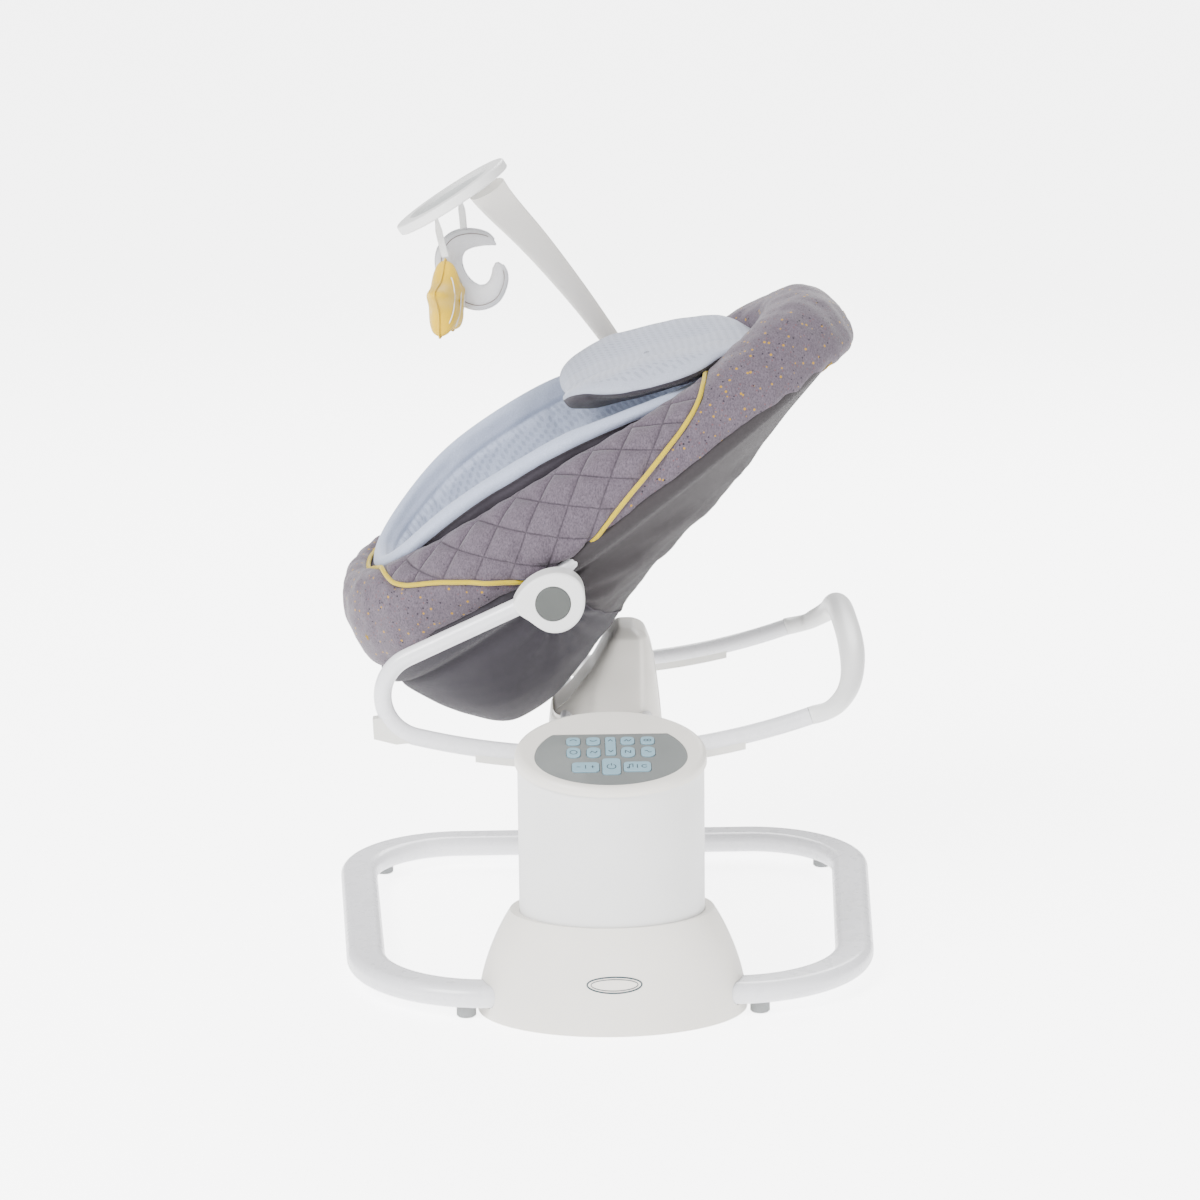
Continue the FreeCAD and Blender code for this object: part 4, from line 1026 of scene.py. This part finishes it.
def make_star():
    hook = np.array(JOINTS["star_swing"]["pos_m"], float)
    centre = np.array([hook[0] + 0.010, hook[1], hook[2] - 0.100])
    turn = math.radians(74)
    flat = star_outline(0.0545, 0.031)
    body = fill_outline("star_body", flat, 0.018, [STAR, STAR], 12)
    cloth_puff(body, 3.0, 0.004, 12)
    edge = np.stack([flat[:, 0], 0 * flat[:, 0], flat[:, 1]], axis=1)
    seam = tube("star_seam", np.vstack([edge, edge[:1]]), 0.0011, STAR, sides=8)
    stripes = []
    for a in (0.5, 0.9, 1.3):
        line = []
        for t in np.linspace(-1, 1, 21):
            z = 0.03 * t
            x = (a - 0.9) * 0.05 + 0.006 * t
            dome = 0.0172 * math.sqrt(max(0.0, 1 - (min(1.0, math.hypot(x, z) / 0.040)) ** 2.2))
            line.append((x, -dome - 0.0012, z))
        stripes.append(tube("star_stripe", line, 0.0007, RIBBON, sides=6))
    group = [body, seam] + stripes
    spin = Matrix.Rotation(turn, 4, "Z")
    for piece in group:
        piece.data.transform(Matrix.Translation(Vector(centre)) @ spin)
    subdivide(body)
    tip = centre + np.array([0, 0, 0.052])
    strap = toy_strap("star_ribbon", tip, -0.0006, hook, (0.9, -0.35, 0))
    for piece in group + [strap]:
        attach(piece, "star")
    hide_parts("star_toy")


# ---- control symbols
def arc(cx, cy, r, a0, a1, n=14):
    angles = np.radians(np.linspace(a0, a1, n))
    return [(cx + r * math.cos(a), cy + r * math.sin(a)) for a in angles]


SYMBOLS = {
    "motion_key_1": ((-42.5, 14.5), [arc(0, -1, 4, 20, 160)]),
    "motion_key_2": ((-19.6, 14.5), [arc(0, 3, 4, 200, 340)]),
    "motion_key_3": ((19.6, 14.5), [[(-4, -2), (-1, 2), (1, -2), (4, 2)]]),
    "motion_key_4": ((42.5, 14.5), [arc(-2, 0, 2, 0, 360), arc(2, 0, 2, 0, 360)]),
    "motion_key_5": ((-42.5, -10.5), [arc(0, 0, 4, 0, 360, 24)]),
    "motion_key_6": ((-19.6, -10.5), [[(-4, -2), (-2, 2), (0, 0), (2, -2), (4, 2)]]),
    "motion_key_7": ((19.6, -10.5), [[(-3, -3), (-3, 3), (3, -3), (3, 3)]]),
    "motion_key_8": ((42.5, -10.5), [[(-4, 1), (-1, 2), (1, -2), (4, -1)]]),
    "speed_rocker_key": ((0, 3), [[(-2.5, 10), (0, 14), (2.5, 10)], [(-2.5, -10), (0, -14), (2.5, -10)]]),
    "power_key": ((0, -42), [arc(0, -1, 5, 120, 420, 24), [(0, 1), (0, 6)]]),
    "volume_rocker_key": ((-29.3, -43), [[(-10, 0), (-6, 0)], [(0, -4), (0, 4)], [(6, 0), (10, 0)],
                                         [(8, -3), (8, 3)]]),
    "sound_rocker_key": ((29.3, -43), [[(-9, -3), (-9, 4), (-5, 5), (-5, -2)], arc(-10.2, -3, 1.2, 0, 360),
                                       [(0, -4), (0, 4)], arc(8, 0, 3, 30, 330)])}


def make_symbols():
    for name, ((kx, kt), strokes) in SYMBOLS.items():
        parts = []
        for stroke in strokes:
            line = np.array(stroke, float)
            if len(line) > 2:
                line = curve_through(line, 40) if len(line) > 8 else np.vstack(
                    [a + (b - a) * t for a, b in zip(line, line[1:]) for t in np.linspace(0, 1, 8)])
                keep = np.concatenate([[True], np.linalg.norm(np.diff(line, axis=0), axis=1) > 1e-6])
                line = line[keep]
            else:
                line = np.linspace(line[0], line[1], 6)
            path = head_world(kx + line[:, 0], kt + line[:, 1], 0.93)
            side = head_world(0, 0, 1) - HEAD_CENTRE
            parts.append(tube("stroke", path, 0.0006, INK, 6, 0.25, side / np.linalg.norm(side)))
        mark = join("symbol_" + name, parts)
        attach(mark, name)


# half sizes of the skirt at its neck and foot, and its height, in metres
SKIRT_NECK = (0.1096, 0.0886)
SKIRT_FOOT = (0.157, 0.110)
SKIRT_HEIGHT = 0.136


def make_badge():
    """Blank oval badge printed on the front of the skirt: it follows the skirt's flare."""
    low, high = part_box("base_skirt")
    middle = (low.x + high.x) / 2
    rings = []
    for grow, width in ((1.0, 0.0009), (0.86, 0.0005)):
        path = []
        for a in np.linspace(0, 2 * math.pi, 73):
            x = middle + 0.031 * grow * math.cos(a)
            z = 0.062 + (0.0095 * grow - (1 - grow) * 0.01) * math.sin(a)
            t = z / SKIRT_HEIGHT
            swell = (1 - t ** 1.7) ** 0.9
            half_x = SKIRT_NECK[0] + (SKIRT_FOOT[0] - SKIRT_NECK[0]) * swell
            half_y = SKIRT_NECK[1] + (SKIRT_FOOT[1] - SKIRT_NECK[1]) * swell
            y = SWAY_AXIS[1] + 0.018 * swell - half_y * math.sqrt(1 - (x / half_x) ** 2)
            path.append((x, y - 0.0002, z))
        path[-1] = path[0]
        rings.append(tube("badge_line", path, width, INK, sides=8, flat=0.4, side=(0, 1, 0)))
    badge = join("skirt_badge", rings)
    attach(badge, "base")


RUNNER_RADIUS = 0.806
HANDLE_X = 0.236


def make_tube_seams():
    """Fine dark joint lines where the runner tubes meet the handle."""
    for name in ("runner_tube_left", "runner_tube_right"):
        low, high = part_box(name)
        lean = math.asin((HANDLE_X + 0.025) / RUNNER_RADIUS)
        along = np.array([math.cos(lean), 0, math.sin(lean)])
        up = np.array([-math.sin(lean), 0, math.cos(lean)])
        centre = np.array([HANDLE_X, (low.y + high.y) / 2, 0.278 + RUNNER_RADIUS * (1 - math.cos(lean))])
        path = [centre + along * 0.0003 + 0.01045 * (math.cos(a) * up + math.sin(a) * np.array([0, 1.0, 0]))
                for a in np.linspace(0, 2 * math.pi, 49)]
        path[-1] = path[0]
        seam = tube("joint_line_" + name[-5:].strip("_"), path, 0.0003, BLACK, sides=6)
        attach(seam, "rocker")


# ---- stage, light, camera
# the floor lights the object with one strength and is seen by the camera with another
FLOOR_REACH = 26
FLOOR_LIGHT = 2.0
FLOOR_SEEN = 5.0


def make_stage():
    shade = Shader("stage_white", (0.93, 0.93, 0.93), 0.95, Emission_Color=(1, 1, 1, 1))
    seen = shade.add("ShaderNodeLightPath").outputs["Is Camera Ray"]
    shade.connect(shade.remap(seen, 0.0, 1.0, FLOOR_LIGHT, FLOOR_SEEN), shade.surface.inputs["Emission Strength"])
    floor = new_object("stage_floor", [(x * FLOOR_REACH, y * FLOOR_REACH, 0) for x, y in
                                       ((-1, -1), (1, -1), (1, 1), (-1, 1))], [(0, 1, 2, 3)], shade.material, False)
    floor.location.z = -0.0005
    world = bpy.data.worlds.new("studio")
    world.use_nodes = True
    world.node_tree.nodes["Background"].inputs["Color"].default_value = (1.0, 1.0, 1.0, 1)
    world.node_tree.nodes["Background"].inputs["Strength"].default_value = 0.72
    bpy.context.scene.world = world
    for name, place, size, power in (("key", (-2.2, -2.4, 3.4), 2.0, 360), ("fill", (2.8, -2.6, 2.0), 2.6, 70),
                                     ("back", (0.6, 2.9, 2.8), 2.2, 160)):
        lamp = bpy.data.lights.new(name, "AREA")
        lamp.energy = power
        lamp.size = size
        obj = bpy.data.objects.new(name, lamp)
        obj.location = place
        obj.rotation_euler = (Vector((0, 0, 0.4)) - Vector(place)).to_track_quat("-Z", "Y").to_euler()
        bpy.context.scene.collection.objects.link(obj)


SENSOR = 36.0
FOCAL_SHARE = 3833.1 / 1200.0


def make_camera():
    yaw = math.radians(1.0)
    pitch = math.radians(13.482)
    roll = math.radians(0.6)
    ahead = Vector((math.sin(yaw) * math.cos(pitch), math.cos(yaw) * math.cos(pitch), -math.sin(pitch)))
    right = Vector((math.cos(yaw), -math.sin(yaw), 0))
    up = right.cross(ahead)
    right = right * math.cos(roll) - up * math.sin(roll)
    up = right.cross(ahead)
    data = bpy.data.cameras.new("camera")
    data.lens = SENSOR * FOCAL_SHARE
    data.sensor_width = SENSOR
    data.clip_end = 50
    camera = bpy.data.objects.new("camera", data)
    camera.matrix_world = Matrix((
        (right.x, up.x, -ahead.x, -0.0839), (right.y, up.y, -ahead.y, -4.4705), (right.z, up.z, -ahead.z, 1.5),
        (0, 0, 0, 1)))
    bpy.context.scene.collection.objects.link(camera)
    bpy.context.scene.camera = camera


paint_nodes()
make_camera()
make_stage()
make_cover()
make_sling()
make_insert()
make_pillow()
make_hood()
make_harness()
make_moon()
make_star()
make_symbols()
make_badge()
make_tube_seams()
